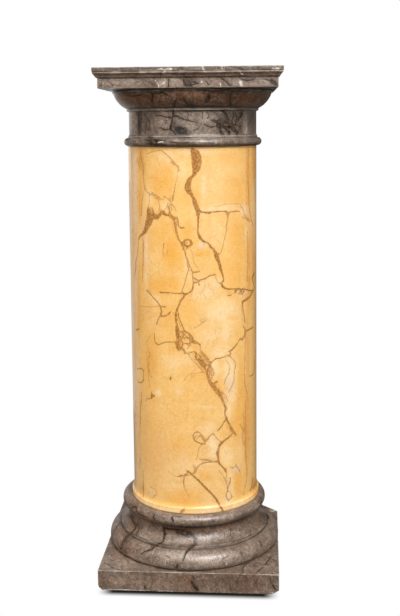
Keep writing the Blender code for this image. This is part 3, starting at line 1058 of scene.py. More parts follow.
    (0.6, (143, 470, 5), (143.2, 484, 8), (142.8, 497)),
    (0.5, (248.5, 150, 6), (248, 176, 8), (249, 204), (250.5, 216, 9), (253, 226, 8)),
    (0.45, (247.5, 232, 6), (248, 256, 8), (247.4, 282, 6)),
    (0.6, (255, 150, 6), (254.6, 172, 8), (254.8, 200, 6)),
    (0.4, (246.4, 330, 5), (245, 350, 6), (244.5, 372, 7), (246, 388, 5)),
    (0.45, (245, 400, 5), (246, 424, 8), (245.6, 448, 6), (246.4, 470)),
    (0.7, (252.5, 478, 7), (252, 486, 12), (250, 491, 9)),
    (0.35, (213, 207, 3), (226, 204, 4), (240, 203.6)), (0.6, (170, 196, 3), (170.6, 203, 5), (171.5, 210)),
    (0.5, (219, 470, 3), (223, 476, 4), (226, 482, 5)), (0.5, (236, 464, 4), (238, 469, 6), (240.5, 473, 4)),
    (0.6, (229.5, 351.5, 4), (231, 354, 5), (229, 356, 4)),
    (0.5, (226, 360, 3), (230, 366, 5), (229, 373, 4), (226, 378, 5), (224, 384, 4)),
    (0.5, (234, 380, 3), (232, 386, 5), (229, 392, 4)), (0.5, (222, 392, 4), (226, 396, 5), (228, 402, 4)),
    (0.6, (240, 424, 5), (243, 430, 6), (242, 438, 5), (244, 446, 4)),
    (0.5, (226, 468, 4), (227, 474, 5), (226, 480), (227, 488, 4)),
    (0.6, (230, 467, 5), (233, 468, 6), (236, 466, 5), (240, 471)),
    (0.6, (227.6, 490, 5), (226, 496), (228.5, 501, 6), (232, 497, 5), (230, 492, 4)),
    (0.4, (184, 486, 4), (186, 491), (189, 497, 3)),
    (0.5, (150, 487, 3), (155, 489, 4), (157, 494), (152, 499, 3)),
    (0.4, (168, 471, 3), (173, 475, 4), (178, 477, 3)),
    (0.4, (207, 372, 4), (198, 373), (189, 374, 3), (184, 380, 4)),
    (0.5, (184, 350, 4), (191, 358), (198, 366, 5), (205, 373, 4)),
    (0.6, (187, 262, 5), (188.6, 270, 6), (186, 278, 5), (184, 286), (181, 293, 4)),
    (0.35, (190, 247, 3), (193, 255, 4), (194, 263), (198, 268, 3)),
    (0.5, (158, 200, 4), (160, 206, 5), (158, 213, 4)),
    (0.5, (164, 196, 4), (169, 200, 5), (174, 206), (176, 211, 4)),
    (0.5, (149.5, 193, 4), (149, 203), (147.6, 210)),
    (0.35, (176.5, 164, 3), (178, 174, 4), (175.5, 184, 3)),
    (0.35, (205, 283, 3), (203, 292, 4), (206, 300, 3)), (0.4, (151, 334, 3), (147, 342, 4), (149, 352)),
    (0.4, (140, 306, 3), (150, 307, 4), (160, 306, 3)),
)

CAPITAL_VEINS = draw_veins(
    (1, (174.5, 106.5, 8), (173.2, 109, 9), (173, 113, 8), (173.4, 115.8, 9), (176.5, 116, 6),
        (180, 117.6, 7), (184, 119.5, 6), (190, 121, 4), (197, 122.3, 3)),
    (0.8, (173.5, 116, 5), (171.5, 117.3, 6), (167, 117.3), (161, 115.8, 5), (156, 115.5, 3)),
    (0.9, (172, 117.5, 4), (172.7, 120), (171.8, 123.5, 7), (170.8, 127, 9), (171.2, 129.5, 6),
        (173.5, 131.5, 5), (175.5, 134.5, 6)),
    (0.8, (175.5, 126.5, 6), (178, 128.5, 8), (184, 128.8, 6), (187, 131)),
    (1, (211, 120, 6), (214, 121.5, 7), (217, 122.5, 10), (216.3, 126, 9), (218.5, 128, 7),
        (221.5, 131.5, 8), (223.5, 134.5), (225, 136.8, 7)),
    (1, (217, 122.5, 8), (219.5, 125.3), (223, 126.5, 5), (226, 128)),
    (0.9, (204.5, 124, 6), (207.5, 126.3, 5), (211, 127.3), (215, 126.5)),
    (0.9, (225, 121, 7), (227.5, 123.5), (229.5, 126, 9), (232, 129.5, 8)),
    (0.9, (228, 121, 5), (229, 124, 6), (232.5, 123.5, 5)),
    (0.9, (226, 130, 5), (230, 131.5), (229, 134.5, 8)),
    (0.9, (234.5, 129, 6), (236, 132, 7), (237, 135), (238.5, 131, 5)),
    (0.8, (240, 113, 8), (242, 115.5, 12), (239, 118, 10), (238.5, 121, 6)),
    (0.7, (233, 112, 5), (233.5, 117, 6), (231.5, 121, 5)),
    (0.6, (202.5, 112.5, 6), (202.3, 116, 5), (202.6, 119)),
    (1, (161, 91.5, 8), (163.5, 93.3, 6), (166, 93.8, 7), (167.6, 95, 6)),
    (0.8, (153, 94.5, 6), (152.3, 98, 8), (152, 102)), (0.8, (176.5, 98, 5), (175, 102, 7), (174.3, 106)),
    (0.8, (190, 104, 5), (195, 105.5, 6), (199, 106, 5)),
    (0.8, (183.5, 79.5, 10), (184.5, 82.5, 13), (186, 85.5, 12), (187.5, 87.5, 7)),
    (0.8, (188, 80, 8), (190.5, 83, 9), (191, 86, 7)), (0.8, (193, 81.5, 5), (196, 82, 6), (198.5, 83.5, 5)),
    (0.7, (221.5, 78.5, 8), (225, 80.5, 9), (228.5, 83.5), (231, 86.5, 7)),
    (0.9, (271, 79, 8), (273.5, 81, 7), (276, 83, 12), (277, 85.5, 14)),
    (0.8, (184, 74, 8), (185, 76.5, 12)), (0.7, (160.5, 74, 6), (160.8, 77)),
    (0.9, (148, 136, 8), (151, 138), (154, 138.5, 9), (157, 139.5, 7)),
    (0.9, (155, 141, 5), (156.5, 143, 7), (162, 142.5, 5), (163, 140.5)),
    (0.9, (164, 138.5, 7), (167, 138.6, 8)),
    (1, (150, 143, 4), (155, 144.5, 7), (162, 145, 10), (166, 145.3, 9)),
    (0.8, (178, 137.5, 6), (184, 138, 7), (190, 138, 5)),
    (0.8, (171, 142, 6), (180, 143.2, 4), (188, 142.5, 7)),
    # The dark border of a painted reflection at the neck's left edge.
    (0.8, (138, 111.5, 5), (138.2, 124), (138.6, 137)),
    (0.9, (127, 95.8, 4), (134, 96.2, 7), (141, 94.8, 4)), (0.9, (150, 92.6, 4), (158, 93.2, 5), (163, 92)),
    (0.9, (172.4, 119, 6), (171, 124, 8), (170, 129, 9)),
    (0.8, (184, 105.5, 4), (194, 106.2, 6), (202, 105.8), (214, 106.2, 4)),
    (0.9, (187, 84.5, 6), (190, 86.2, 8), (193, 84.6, 6), (196, 84)),
    (0.6, (204, 79, 4), (207, 82, 6), (209, 85)), (0.8, (241, 78.8, 5), (247, 80.6, 6), (253, 79.4, 5)),
    (0.8, (264, 78.6, 4), (270, 80.6, 6), (274, 84, 8)), (0.5, (142, 79, 4), (150, 82), (156, 86)),
    (0.6, (168.5, 79, 4), (168.2, 87, 5)), (0.8, (222, 110.5, 10), (226, 114, 14), (228, 119, 12)),
    (0.8, (243, 111, 5), (241.5, 116, 7)), (0.4, (194, 130.5, 5), (197, 129, 8), (199, 127, 5)),
    (0.9, (213, 119, 4), (216.5, 121, 6), (219, 119.5, 4)),
    (0.8, (219.5, 121.5, 6), (222, 125.5, 7), (225.5, 129, 8), (228.5, 132.5, 7), (230, 136, 5)),
    (0.8, (229, 124, 6), (233, 126.5, 8), (236, 130.5), (237.5, 134, 6)),
    (0.6, (231, 120.5, 5), (234, 124.5, 6), (240, 126.5, 4)),
    (0.7, (221, 128.5, 5), (219.5, 132, 6), (222, 136, 5)),
    (1.1, (184, 99, 6), (187.5, 104, 9), (191.5, 107.5, 10), (196, 110.5, 8)),
    (1, (186, 107.5, 5), (191.5, 105, 7), (195.5, 108, 6)),
    (1.1, (144, 139, 4), (149, 141, 6), (153, 139, 5), (157, 141, 6), (161, 139, 5)),
    (1.1, (146, 144, 4), (151, 143, 6), (156, 145.5, 7), (162, 144, 5)),
    (1, (150, 138, 5), (152, 142, 7), (151, 145.5, 5)), (1, (158, 138, 5), (159.5, 142, 7), (162, 145.5, 5)),
    (0.6, (148, 118, 3), (150, 124, 4), (148.5, 131)),
    (0.9, (152, 138, 7), (155, 140.5, 8), (158, 141.5), (164, 141, 7)),
    (0.6, (143, 111, 4), (146, 118, 6), (147, 126, 5), (145, 134, 4)),
    (0.9, (221, 118, 5), (224, 123, 7), (222, 128, 5)),
    (0.9, (219, 127, 4), (226, 126.5, 6), (231, 128, 5), (234, 132)),
    (0.7, (235, 112, 5), (237, 119, 7), (235, 126, 5)), (0.5, (207, 111, 3), (209, 116, 4), (207, 119, 3)),
    (0.6, (186, 111, 4), (189, 115, 5), (187, 118, 4)), (0.7, (160, 127, 4), (165, 130, 5), (170, 129, 4)),
    (0.35, (192, 91, 5), (194, 97), (192, 104, 8)), (0.4, (232, 92, 6), (230, 99, 12), (231, 106)),
    (0.5, (208.8, 95, 14), (208, 98.5, 26), (206.8, 102, 16)),
    (0.5, (127, 66.8, 3), (140, 67.6, 5), (152, 68.4, 3)), (0.6, (230, 66, 3), (238, 67.6, 5), (244, 69, 4)),
    (0.6, (180, 66.8, 4), (183, 69, 6)), (0.4, (106, 80, 3), (112, 84, 4), (118, 86, 3)),
)

CAPITAL_WHITES = draw_veins(
    (1, (202.2, 66, 9), (203.4, 69, 8), (205.5, 71.8, 10)), (1, (201.2, 81.8, 9), (201.8, 81.9)),
    (1, (240.8, 82, 16), (241.8, 85, 17)), (0.8, (220.3, 83.5, 6), (220.8, 86.5)),
    (0.8, (272.5, 68.5, 8), (278.5, 68.5)),
    (0.8, (163, 73, 7), (166.5, 69.5, 12), (168.5, 68.8, 8), (171.5, 69, 9)),
    (0.7, (239.5, 70, 4), (241, 73.5, 5), (242.5, 74.5, 8)),
    # A pale line at the neck's right edge, part of a painted reflection.
    (0.55, (246.8, 127.5, 7), (246.3, 130.5, 11), (246.2, 133.5, 9)),
    (0.7, (215.6, 142.5, 8), (216.4, 142.6)), (0.6, (158, 142.5, 5), (163, 141.8, 6)),
    (0.6, (155, 80, 3), (158, 84, 4), (159, 87, 3)), (0.6, (166, 80, 5), (164, 83, 7), (161.5, 84.5, 5)),
    (0.8, (271.5, 88.5, 7), (273.5, 90, 6)), (0.7, (158, 69.5, 4), (162, 68.6, 6)),
    (0.4, (221, 66.6, 3), (222.5, 69, 4)),
)

BASE_VEINS = draw_veins(
    (1, (196, 538.3, 8), (193.5, 536, 7), (190.5, 532, 8), (189, 534.5), (186.5, 534, 7)),
    (1, (195.5, 544.5, 7), (192.5, 546.5, 13), (190, 548.5, 16), (187.5, 551, 10), (185.5, 554, 9),
        (184, 558), (183, 560.5, 6)),
    (0.9, (177.8, 564.8, 7), (176.8, 567, 10)),
    (0.85, (163, 526.5, 9), (164, 530, 15), (164.8, 534), (164.2, 537, 10), (163.3, 541, 8),
        (160.5, 543.3, 9), (156.5, 545.2)),
    (0.8, (154, 547.5, 10), (152.5, 549, 9), (147, 551, 11), (144.5, 551.5, 6)),
    (0.6, (143, 553, 7), (141, 554, 4)), (0.8, (130, 510, 8), (131.5, 515, 7), (134, 518, 6)),
    (0.9, (132, 508.5, 8), (134, 507), (136.5, 506.3, 5)),
    (0.9, (137, 524, 8), (134, 530, 12), (131, 533.5), (128.5, 535, 10), (126, 537), (124.3, 540),
        (122.5, 543, 9), (121, 547, 7), (120.3, 549.5, 5)),
    (0.8, (129.5, 537.5, 5), (126.5, 540, 6), (123.5, 544), (122.5, 547.5)),
    (1.2, (172, 517.5, 9), (173, 520.7, 10)), (0.8, (177.5, 516.8, 5), (181, 517, 4)),
    (0.8, (154.5, 514, 5), (153.5, 517, 7), (155, 520.5, 6)), (0.7, (116, 526, 7), (117, 529, 6)),
    (0.6, (121, 523, 5), (124.5, 526.5, 6), (121, 530)),
    (0.6, (110.5, 559.5, 5), (112.5, 560.5, 6), (115.5, 560, 4)),
    (0.6, (112, 564.5, 4), (114, 565.3, 6), (117.5, 564, 5)),
    (0.8, (271, 556.5, 5), (269, 559.5, 6), (267, 562), (265.5, 564.5, 7)),
    (0.8, (262.5, 567.5, 6), (258.5, 571), (257, 572.3, 4)),
    (0.8, (243.5, 571.5, 6), (242, 573.5, 8), (240, 575, 7)), (0.5, (192, 575.5, 6), (194.5, 579, 8)),
    (0.7, (192, 582, 12), (194, 586, 15), (197, 589.5, 13)),
    (0.8, (272.5, 585.5, 5), (274.5, 588, 6), (275.5, 589.5, 5)),
    (0.6, (229.8, 585, 6), (230, 588), (231, 590.5, 5)), (1, (144.6, 585.8, 8), (145, 587.8, 9)),
    (0.7, (259.5, 541, 7), (261, 544, 8), (262.5, 547.5, 7)), (0.6, (231, 529, 4), (230.7, 536)),
    (0.5, (250.5, 530, 4), (250.5, 536)), (0.6, (241, 552.5, 6), (242, 556, 4)),
    (0.8, (163, 528, 8), (170, 529, 12), (178, 530, 14), (186, 531), (191, 534.5, 13), (196, 539, 12)),
    (0.7, (176, 532.5, 6), (182, 534, 8), (188, 537, 7)),
    (0.9, (194, 541, 8), (196, 544, 12), (191, 547.5, 14)),
    (0.8, (127.5, 507, 5), (129, 514, 7), (132, 520, 6), (137, 526, 5)),
    (0.7, (121.5, 516, 5), (119, 524, 6), (114, 534, 5)), (0.7, (136, 508, 5), (139, 514, 6), (146, 517, 5)),
    (0.6, (138, 522, 4), (139, 529, 6), (136, 535, 5)), (0.5, (116, 540, 4), (120, 548, 5), (127, 553, 4)),
    (0.6, (104, 562, 4), (109, 565, 5), (113, 568, 4)), (0.6, (249, 562, 4), (244, 566, 6), (242, 570, 5)),
    (0.25, (206, 575, 4), (203, 582, 6), (207, 589, 4)), (0.3, (258, 576, 4), (256, 583, 6), (258, 590, 5)),
    (0.3, (240, 577, 4), (236, 581, 5), (238, 586, 4)), (0.4, (270, 577, 5), (271, 582, 6), (274, 586, 5)),
    (0.4, (150, 574, 3), (153, 580, 4), (151, 587)), (0.4, (128, 576, 3), (131, 583, 4)),
)

BASE_WHITES = draw_veins(
    (0.5, (226, 562, 8), (226.5, 564.5)), (0.9, (279, 589.5, 6), (277, 591.5, 8), (272, 592.5, 7)),
    (0.4, (165.5, 561, 4), (165.8, 565)), (0.3, (195.5, 568.8, 5), (199, 568.9)),
    # A pale line along the plinth's lower front edge: wear, partly a painted highlight.
    (0.6, (103.5, 589.2, 3), (125, 589.8, 4), (150, 590.6, 3)), (0.5, (158, 590.8, 3), (172, 591.2, 4)),
)

SHAFT_PATCHES = {
    "cream": draw_patches(
        (218, 178, 16, 26, 0.35), (222, 208, 22, 5, 0.8, -6), (243, 209, 4, 6), (214, 236, 11, 18, 0.4),
        (206, 290, 14, 12, 0.7), (222, 312, 18, 16, 0.8), (212, 335, 12, 10, 0.6), (230, 372, 8, 18, 0.9),
        (222, 352, 12, 9, 0.7), (231, 396, 6, 14, 0.7), (213, 446, 7, 14), (226, 456, 8, 13, 0.7),
        (231, 486, 6, 16, 0.7), (205, 433, 14, 3, 0.5), (188, 350, 6, 3, 0.6, 20), (188, 341, 3, 2.4, 0.7),
        (199, 359, 2.2, 2.2, 0.6), (204, 463, 14, 3, 0.7, -8), (176, 362, 12, 8, 0.5), (158, 393, 4, 4, 0.8),
        (180, 390, 4, 5, 0.5), (192, 368, 9, 4, 0.6, 40), (206, 407, 12, 2, 0.5), (213, 500, 20, 8, 0.4),
        # The four thin patches along the foot fillet are a painted highlight.
        (192, 465, 52, 36, 0.3), (148, 503, 12, 3, 1, 24), (172, 510, 18, 3, 1, 6), (205, 511, 20, 3, 1, -4),
        (238, 504, 16, 3, 1, -22), (155, 320, 10, 14, 0.3), (172, 485, 16, 3, 0.5), (180, 170, 8, 12, 0.5),
        (160, 165, 5, 10, 0.3), (196, 152, 26, 4, 0.7), (150, 196, 4, 10, 0.6), (166, 206, 6, 6, 0.6),
        (155, 300, 8, 4, 0.6, 40), (188, 268, 4, 14, 0.5, -10), (182, 283, 4, 8, 0.6),
        (247, 235, 2.4, 12, 0.8), (168, 156, 12, 8, 0.6), (204, 186, 4, 16, 0.7), (143, 232, 4, 20, 0.6),
        (188, 362, 8, 12, 0.5), (214, 368, 6, 12, 0.8), (226, 333, 7, 11, 0.8), (227, 404, 5, 15, 0.8),
        (239, 442, 4, 16, 0.6), (208, 428, 10, 6, 0.5),
    ),
    "honey": draw_patches(
        (160, 182, 13, 16, 0.7), (171, 252, 10, 16), (158, 240, 12, 14, 0.6), (165, 285, 22, 9, 0.9),
        (202, 254, 9, 3, 1, -10), (187, 232, 6, 9, 0.7), (235, 272, 9, 14, 0.7), (236, 190, 12, 20, 0.7),
        (228, 160, 18, 10, 0.4), (237, 240, 8, 24, 0.7), (168, 318, 18, 12, 0.5), (187, 312, 9, 9, 0.5),
        (192, 372, 12, 9, 0.5, 20), (152, 355, 8, 26, 0.5), (239, 424, 6, 26, 0.8), (241, 385, 4, 30, 0.7),
        (182, 446, 16, 14, 0.6), (238, 482, 5, 14, 0.9), (205, 476, 10, 5, 0.7, 30), (186, 500, 20, 10, 0.7),
        (233, 318, 6, 3, 0.5), (229, 292, 3, 3, 0.9), (141, 320, 5, 14, 0.7),
    ),
    # Painted shade along the shaft's left and right outline, and a few darker patches.
    "dusk": draw_patches(
        (142, 165, 3.4, 14, 0.4, -6), (145, 225, 5, 14, 0.4), (158, 452, 18, 26, 0.4),
        (146, 430, 3.4, 40, 0.6), (143, 490, 4, 8, 0.4), (228, 388, 4, 12, 0.3), (254.5, 330, 2.6, 150, 0.6),
    ),
    # Orange streaks; the narrow ones along the shaft's left and right outline are painted shade.
    "ember": draw_patches(
        (248, 180, 2.6, 50, 0.9), (248.5, 270, 2.4, 50, 0.9), (247.5, 350, 2.2, 50, 0.7),
        (247, 430, 3.4, 50, 0.9), (253.5, 165, 2.4, 22, 0.8), (254, 486, 3.4, 9, 0.9),
        (143, 245, 2.2, 30, 0.5), (141.5, 161, 3.4, 13), (140.5, 203, 2, 24, 0.8), (139, 305, 1.8, 40, 0.6),
        (253.5, 252, 2, 30, 0.8), (148, 312, 5, 12, 0.4), (150, 360, 9, 40, 0.35), (154, 455, 12, 40, 0.35),
        (139, 440, 2.4, 46, 0.6), (192, 344, 14, 4.5, 0.4, 38), (204, 357, 9, 4.5, 0.5, 50),
        (208, 374, 4.5, 9, 0.5, -12), (219, 391, 3.6, 11, 0.7, -28), (196, 357, 5, 6, 0.5),
        (230, 428, 2.6, 9, 0.6, -34), (181, 345, 4, 8, 0.5), (197, 206, 2.4, 7, 0.5),
        (174, 226, 2.4, 12, 0.6, -8),
    ),
    # Painted reflection along the shaft's left and right outline.
    "blush_reflection": draw_patches(
        (134, 190, 3.4, 60), (146, 260, 2, 30, 0.7), (135, 290, 2.6, 60, 0.9), (136.5, 400, 2.8, 60),
        (137.5, 465, 2.6, 36, 0.8), (254.5, 215, 2, 40, 0.5),
    ),
    "lilac": draw_patches(
        (201, 245, 3.6, 2.6), (236, 469, 4.4, 4, 0.8), (220.5, 507.5, 2.6, 2.4, 0.8),
        (230, 386, 4.4, 9, 0.6), (228, 500, 2.6, 7, 0.7), (216, 283, 3, 4, 0.6), (241, 292.5, 5, 2.4, 0.8),
        (183, 461, 5, 12, 0.2), (152, 492, 3, 6, 0.4), (247, 212, 2.6, 6, 0.5),
    ),
}

CAPITAL_PATCHES = {
    # Partly painted reflection: the strips at the left and right edge of the neck.
    "light": draw_patches(
        (163.5, 83, 5, 5.5), (236, 82, 7, 4, 0.7), (204, 82, 6, 4, 0.7), (208, 85, 13, 3, 0.7),
        (252, 83, 9, 4, 0.5), (120, 82, 22, 5, 0.6), (174, 83, 8, 5, 0.5), (207, 119, 9, 6, 0.7),
        (193, 124, 16, 12, 0.4), (245.4, 126, 2.4, 13), (132.6, 124, 4.6, 16), (162, 122, 9, 11, 0.3),
    ),
    # Partly painted shade, under the abacus, under the astragal and at the top of the neck, and the dark
    # border of a painted reflection at the neck's left edge; the rest is dark stone.
    "deep": draw_patches(
        (189, 83.5, 4, 5, 0.5), (226, 118, 7, 9, 0.9), (140.6, 124, 2.4, 18), (141.5, 118, 3, 9),
        (146, 124, 3, 13, 0.7), (153, 115, 6, 5, 0.6), (223, 114, 6, 6, 0.7), (239, 114, 5, 5, 0.9),
        (150, 105, 30, 3, 0.4), (222, 105, 20, 3, 0.6), (200, 82, 3, 5, 0.3), (112, 69.5, 30, 3, 0.8),
        (182, 68, 10, 2, 0.5), (214, 67, 5, 2, 0.4), (250, 67.5, 8, 2, 0.3), (170, 67, 130, 2.6, 0.4),
        (236, 90, 28, 3.4), (147, 118, 7, 9, 0.6), (155, 124, 5, 12, 0.5), (213, 112.5, 7, 3, 0.7),
        (246, 145.3, 12, 1.6), (188, 145.4, 16, 1.5), (230, 130, 8, 5, 0.4, 30), (181, 101, 8, 5, 0.6),
        (160, 141, 9, 3, 0.6), (208.5, 98.8, 3.4, 4.6, 1, 25), (276, 84, 3, 5, 0.9),
        (158, 145, 10, 2.4, 0.8), (152, 100, 3, 9, 0.7), (128, 94, 7, 3.5, 0.8), (176, 101, 6, 6, 0.6),
        (190, 106, 6, 5, 0.9, 30), (231, 100, 6, 8, 0.4), (262, 98, 7, 8, 0.7), (241, 130, 4, 7, 0.5),
        (190, 73.5, 100, 1.1, 0.5),
    ),
    "rust": draw_patches(
        (217, 83, 4, 3, 0.3), (247, 86, 9, 1.6, 0.9), (163, 98, 5, 4, 0.5), (145, 98, 8, 5, 0.3),
        (240, 99, 12, 5, 0.5), (196, 98, 6, 4, 0.2),
    ),
    # The narrow strip at the neck's left edge is the dark border of a painted reflection; the rest is dark
    # stone.
    "slate": draw_patches(
        (181, 131, 9, 5.5, 1.5, 20), (175, 124, 4, 5, 0.8), (139.5, 120, 1.8, 13, 0.9),
        (180, 130.5, 8, 4.4, 1, 18), (184, 133.5, 7, 3.6, 1.3), (249, 80, 9, 2.6, 0.6), (190, 82, 3, 3, 0.6),
        (229, 126, 5, 4, 0.4, 30),
    ),
    # Painted warm shade on the echinus under the abacus and in the cyma.
    "umber_tone_and_shade": draw_patches(
        (190, 98.5, 110, 10), (150, 98.5, 60, 9), (235, 98.5, 50, 9), (187, 75.2, 130, 2.6, 0.9),
    ),
}

BASE_PATCHES = {
    # Partly painted highlight: on the front of the lower torus, in the hollow and on the upper torus.
    "light": draw_patches(
        (148, 583, 18, 6, 0.5), (150, 532, 7, 4, 0.2), (222, 534, 8, 5, 0.4), (119, 581, 8, 6, 0.5),
        (178, 556, 20, 7, 0.9), (216, 559, 24, 6, 1, -8), (120, 563, 20, 5, 0.9), (160, 582, 30, 7, 0.35),
        (222, 558, 10, 4, 0.9, -14), (140, 562, 12, 3, 0.3, 18), (250, 549, 8, 5, 0.5, -30),
        (145, 549, 10, 6, 0.4, 25), (190, 541, 30, 3.4, 0.5), (190, 518, 34, 2.6, 0.4),
    ),
    # Partly painted shade, in the top of the hollow under the upper torus; the rest is dark stone.
    "deep": draw_patches(
        (262, 517, 7, 5), (193, 584, 3.4, 8, 0.9, -18), (250, 584, 9, 6, 0.5), (235, 580, 44, 9, 0.4),
        (202, 575, 7, 4, 0.6), (190, 534, 9, 3.4, 0.9), (192, 545, 6, 2.6, 0.9, -20),
        (246, 518, 10, 4, 0.9, -24), (251, 528, 9, 5, 0.6, -20), (124, 524, 7, 7, 0.5, 30),
        (250, 523, 11, 3, 0.8, -28), (203, 533, 22, 3, 0.8), (146, 527, 12, 5, 0.4, 20),
        (192, 533, 4, 5, 0.7), (127, 537, 5, 7, 0.5), (258, 545, 5, 8, 0.3), (124, 511, 6, 9, 0.7),
        (180, 530, 24, 4, 0.7), (230, 527, 22, 4, 0.4, -12),
    ),
    "rust": draw_patches(
        (101.5, 581, 3, 8, 0.7), (111, 580, 2.4, 6, 0.6), (181, 580, 6, 5, 0.9), (188.5, 582, 3.4, 9, 0.9),
        (258, 520, 6, 6, 0.4), (122, 581, 8, 6, 0.3), (140, 514, 10, 4, 0.5, 25),
    ),
    "slate": draw_patches(
        (218, 541, 18, 5, 0.15), (112, 562, 3, 3, 0.5), (264, 515, 4, 3, 0.5, 20),
    ),
    # Painted warm shade under the upper torus and on the left of the turning, and a warm tone on the plinth
    # front.
    "umber_tone_and_shade": draw_patches(
        (188, 529, 34, 4, 0.9), (232, 523, 18, 4, 0.8, -18), (150, 521, 14, 4, 0.8, 24),
        (127, 522, 12, 20, 0.6), (126, 549, 14, 14, 0.4, 35), (187, 582, 90, 9, 0.35),
        (240, 582, 40, 10, 0.5),
    ),
}


@dataclass
class Sheet:
    """A node tree that is being filled: short calls that add a node, feed it and give back its output."""

    tree: bpy.types.NodeTree

    @classmethod
    def clear(cls, owner: bpy.types.Material | bpy.types.World) -> "Sheet":
        """Gives a material or a world an empty node tree."""
        owner.use_nodes = True
        owner.node_tree.nodes.clear()
        return cls(owner.node_tree)

    def feed(self, socket: bpy.types.NodeSocket, value: object) -> None:
        """Links a socket to the input, or sets the input to a constant.

        Args:
            socket: The input.
            value: An output socket, or a constant.
        """
        if isinstance(value, bpy.types.NodeSocket):
            self.tree.links.new(value, socket)
        else:
            socket.default_value = value

    def node(self, kind: str, inputs: dict[str | int, object], **settings: object) -> bpy.types.Node:
        """Adds a node.

        Args:
            kind: The node's type.
            inputs: Sockets or constants by the input's name or number.
            settings: The node's own settings.

        Returns:
            The node.
        """
        made = self.tree.nodes.new(kind)
        for name, value in settings.items():
            setattr(made, name, value)
        for name, value in inputs.items():
            self.feed(made.inputs[name], value)
        return made

    def math(self, operation: str, *values: object) -> bpy.types.NodeSocket:
        """Adds a Math node and gives its result."""
        return self.node("ShaderNodeMath", dict(enumerate(values)), operation=operation).outputs[0]

    def times(self, a: object, b: object) -> bpy.types.NodeSocket:
        """Multiplies two numbers."""
        return self.math("MULTIPLY", a, b)

    def vector(self, operation: str, a: object, b: object) -> bpy.types.NodeSocket:
        """Adds a Vector Math node for two vectors and gives its result."""
        return self.node("ShaderNodeVectorMath", {0: a, 1: b}, operation=operation).outputs[0]

    def scaled(self, value: object, scale: object) -> bpy.types.NodeSocket:
        """Multiplies a vector or a colour by a number."""
        return self.node("ShaderNodeVectorMath", {0: value, "Scale": scale}, operation="SCALE").outputs[0]

    def span(
        self, value: object, low: object, high: object, first: float = 0.0, last: float = 1.0
    ) -> bpy.types.NodeSocket:
        """Adds a Map Range node with a smooth step from low to high, and gives its result."""
        inputs = {"Value": value, "From Min": low, "From Max": high, "To Min": first, "To Max": last}
        made = self.node("ShaderNodeMapRange", inputs, interpolation_type="SMOOTHSTEP")
        return made.outputs["Result"]

    def blend(self, share: object, a: object, b: object, way: str = "MIX") -> bpy.types.NodeSocket:
        """Adds a Mix node for colours and gives its result."""
        made = self.node("ShaderNodeMix", {}, data_type="RGBA", blend_type=way)
        for number, value in ((0, share), (6, a), (7, b)):
            self.feed(made.inputs[number], value)
        return made.outputs[2]

    def noise(
        self, place: object, scale: object, detail: float = 3.0, twist: float = 0.0, result: str = "Fac"
    ) -> bpy.types.NodeSocket:
        """Adds a Noise Texture node and gives its value, or its colour."""
        inputs = {"Vector": place, "Scale": scale, "Detail": detail, "Distortion": twist}
        return self.node("ShaderNodeTexNoise", inputs).outputs[result]

    def jitter(self, place: object, scale: object) -> bpy.types.NodeSocket:
        """Gives a noise vector that is centred on nought."""
        return self.vector("SUBTRACT", self.noise(place, scale, result="Color"), (0.5, 0.5, 0.5))

    def read(self, name: str, result: str = "Fac") -> bpy.types.NodeSocket:
        """Reads one of the mesh's own attributes, as a number or as a vector."""
        made = self.node("ShaderNodeAttribute", {}, attribute_type="GEOMETRY", attribute_name=name)
        return made.outputs[result]


Sockets = bpy.types.bpy_prop_collection


def open_group(name: str, inputs: dict[str, str], outputs: tuple[str, ...]) -> tuple[Sheet, Sockets, Sockets]:
    """Makes a shader node group, which every finish then uses.

    Args:
        name: Name of the group.
        inputs: Kind of each input by its name. The place is added to them.
        outputs: Names of the outputs, which are numbers.

    Returns:
        The group's sheet, the sockets that give its inputs, and the sockets that take its outputs.
    """
    tree = bpy.data.node_groups.new(name, "ShaderNodeTree")
    for given, kind in ({"Place": "Vector"} | inputs).items():
        tree.interface.new_socket(name=given, in_out="INPUT", socket_type="NodeSocket" + kind)
    for result in outputs:
        tree.interface.new_socket(name=result, in_out="OUTPUT", socket_type="NodeSocketFloat")
    sheet = Sheet(tree)
    return sheet, sheet.node("NodeGroupInput", {}).outputs, sheet.node("NodeGroupOutput", {}).inputs


def vein_group() -> bpy.types.NodeTree:
    """Makes the vein effect: a ragged line where the offset is shorter than the half width, with a halo."""
    kinds = {"Offset": "Vector", "Size": "Float", "Gap": "Float", "Strength": "Float", "Ragged": "Float"}
    sheet, given, result = open_group("stone_vein", kinds, ("Core", "Halo"))
    place, size, gap = given["Place"], given["Size"], given["Gap"]
    ragged = sheet.scaled(sheet.jitter(place, 230.0), given["Ragged"])
    offset = sheet.vector("ADD", given["Offset"], ragged)
    length = sheet.node("ShaderNodeVectorMath", {0: offset}, operation="LENGTH").outputs["Value"]
    outside = sheet.math("MULTIPLY_ADD", size, 1.05, 0.6 * MM)
    core = sheet.span(length, sheet.times(size, 0.70), outside, 1.0, 0.0)
    guard = sheet.span(gap, 2.6 * MM, 3.4 * MM, 1.0, 0.0)
    broken = sheet.span(sheet.noise(place, 90.0, 2.0), 0.25, 0.55, 0.70, 1.15)
    held = sheet.times(sheet.times(core, guard), given["Strength"])
    sheet.feed(result["Core"], sheet.times(held, broken))
    sheet.feed(result["Halo"], sheet.times(sheet.span(gap, 0.0, 6.0 * MM, 1.0, 0.0), given["Strength"]))
    return sheet.tree


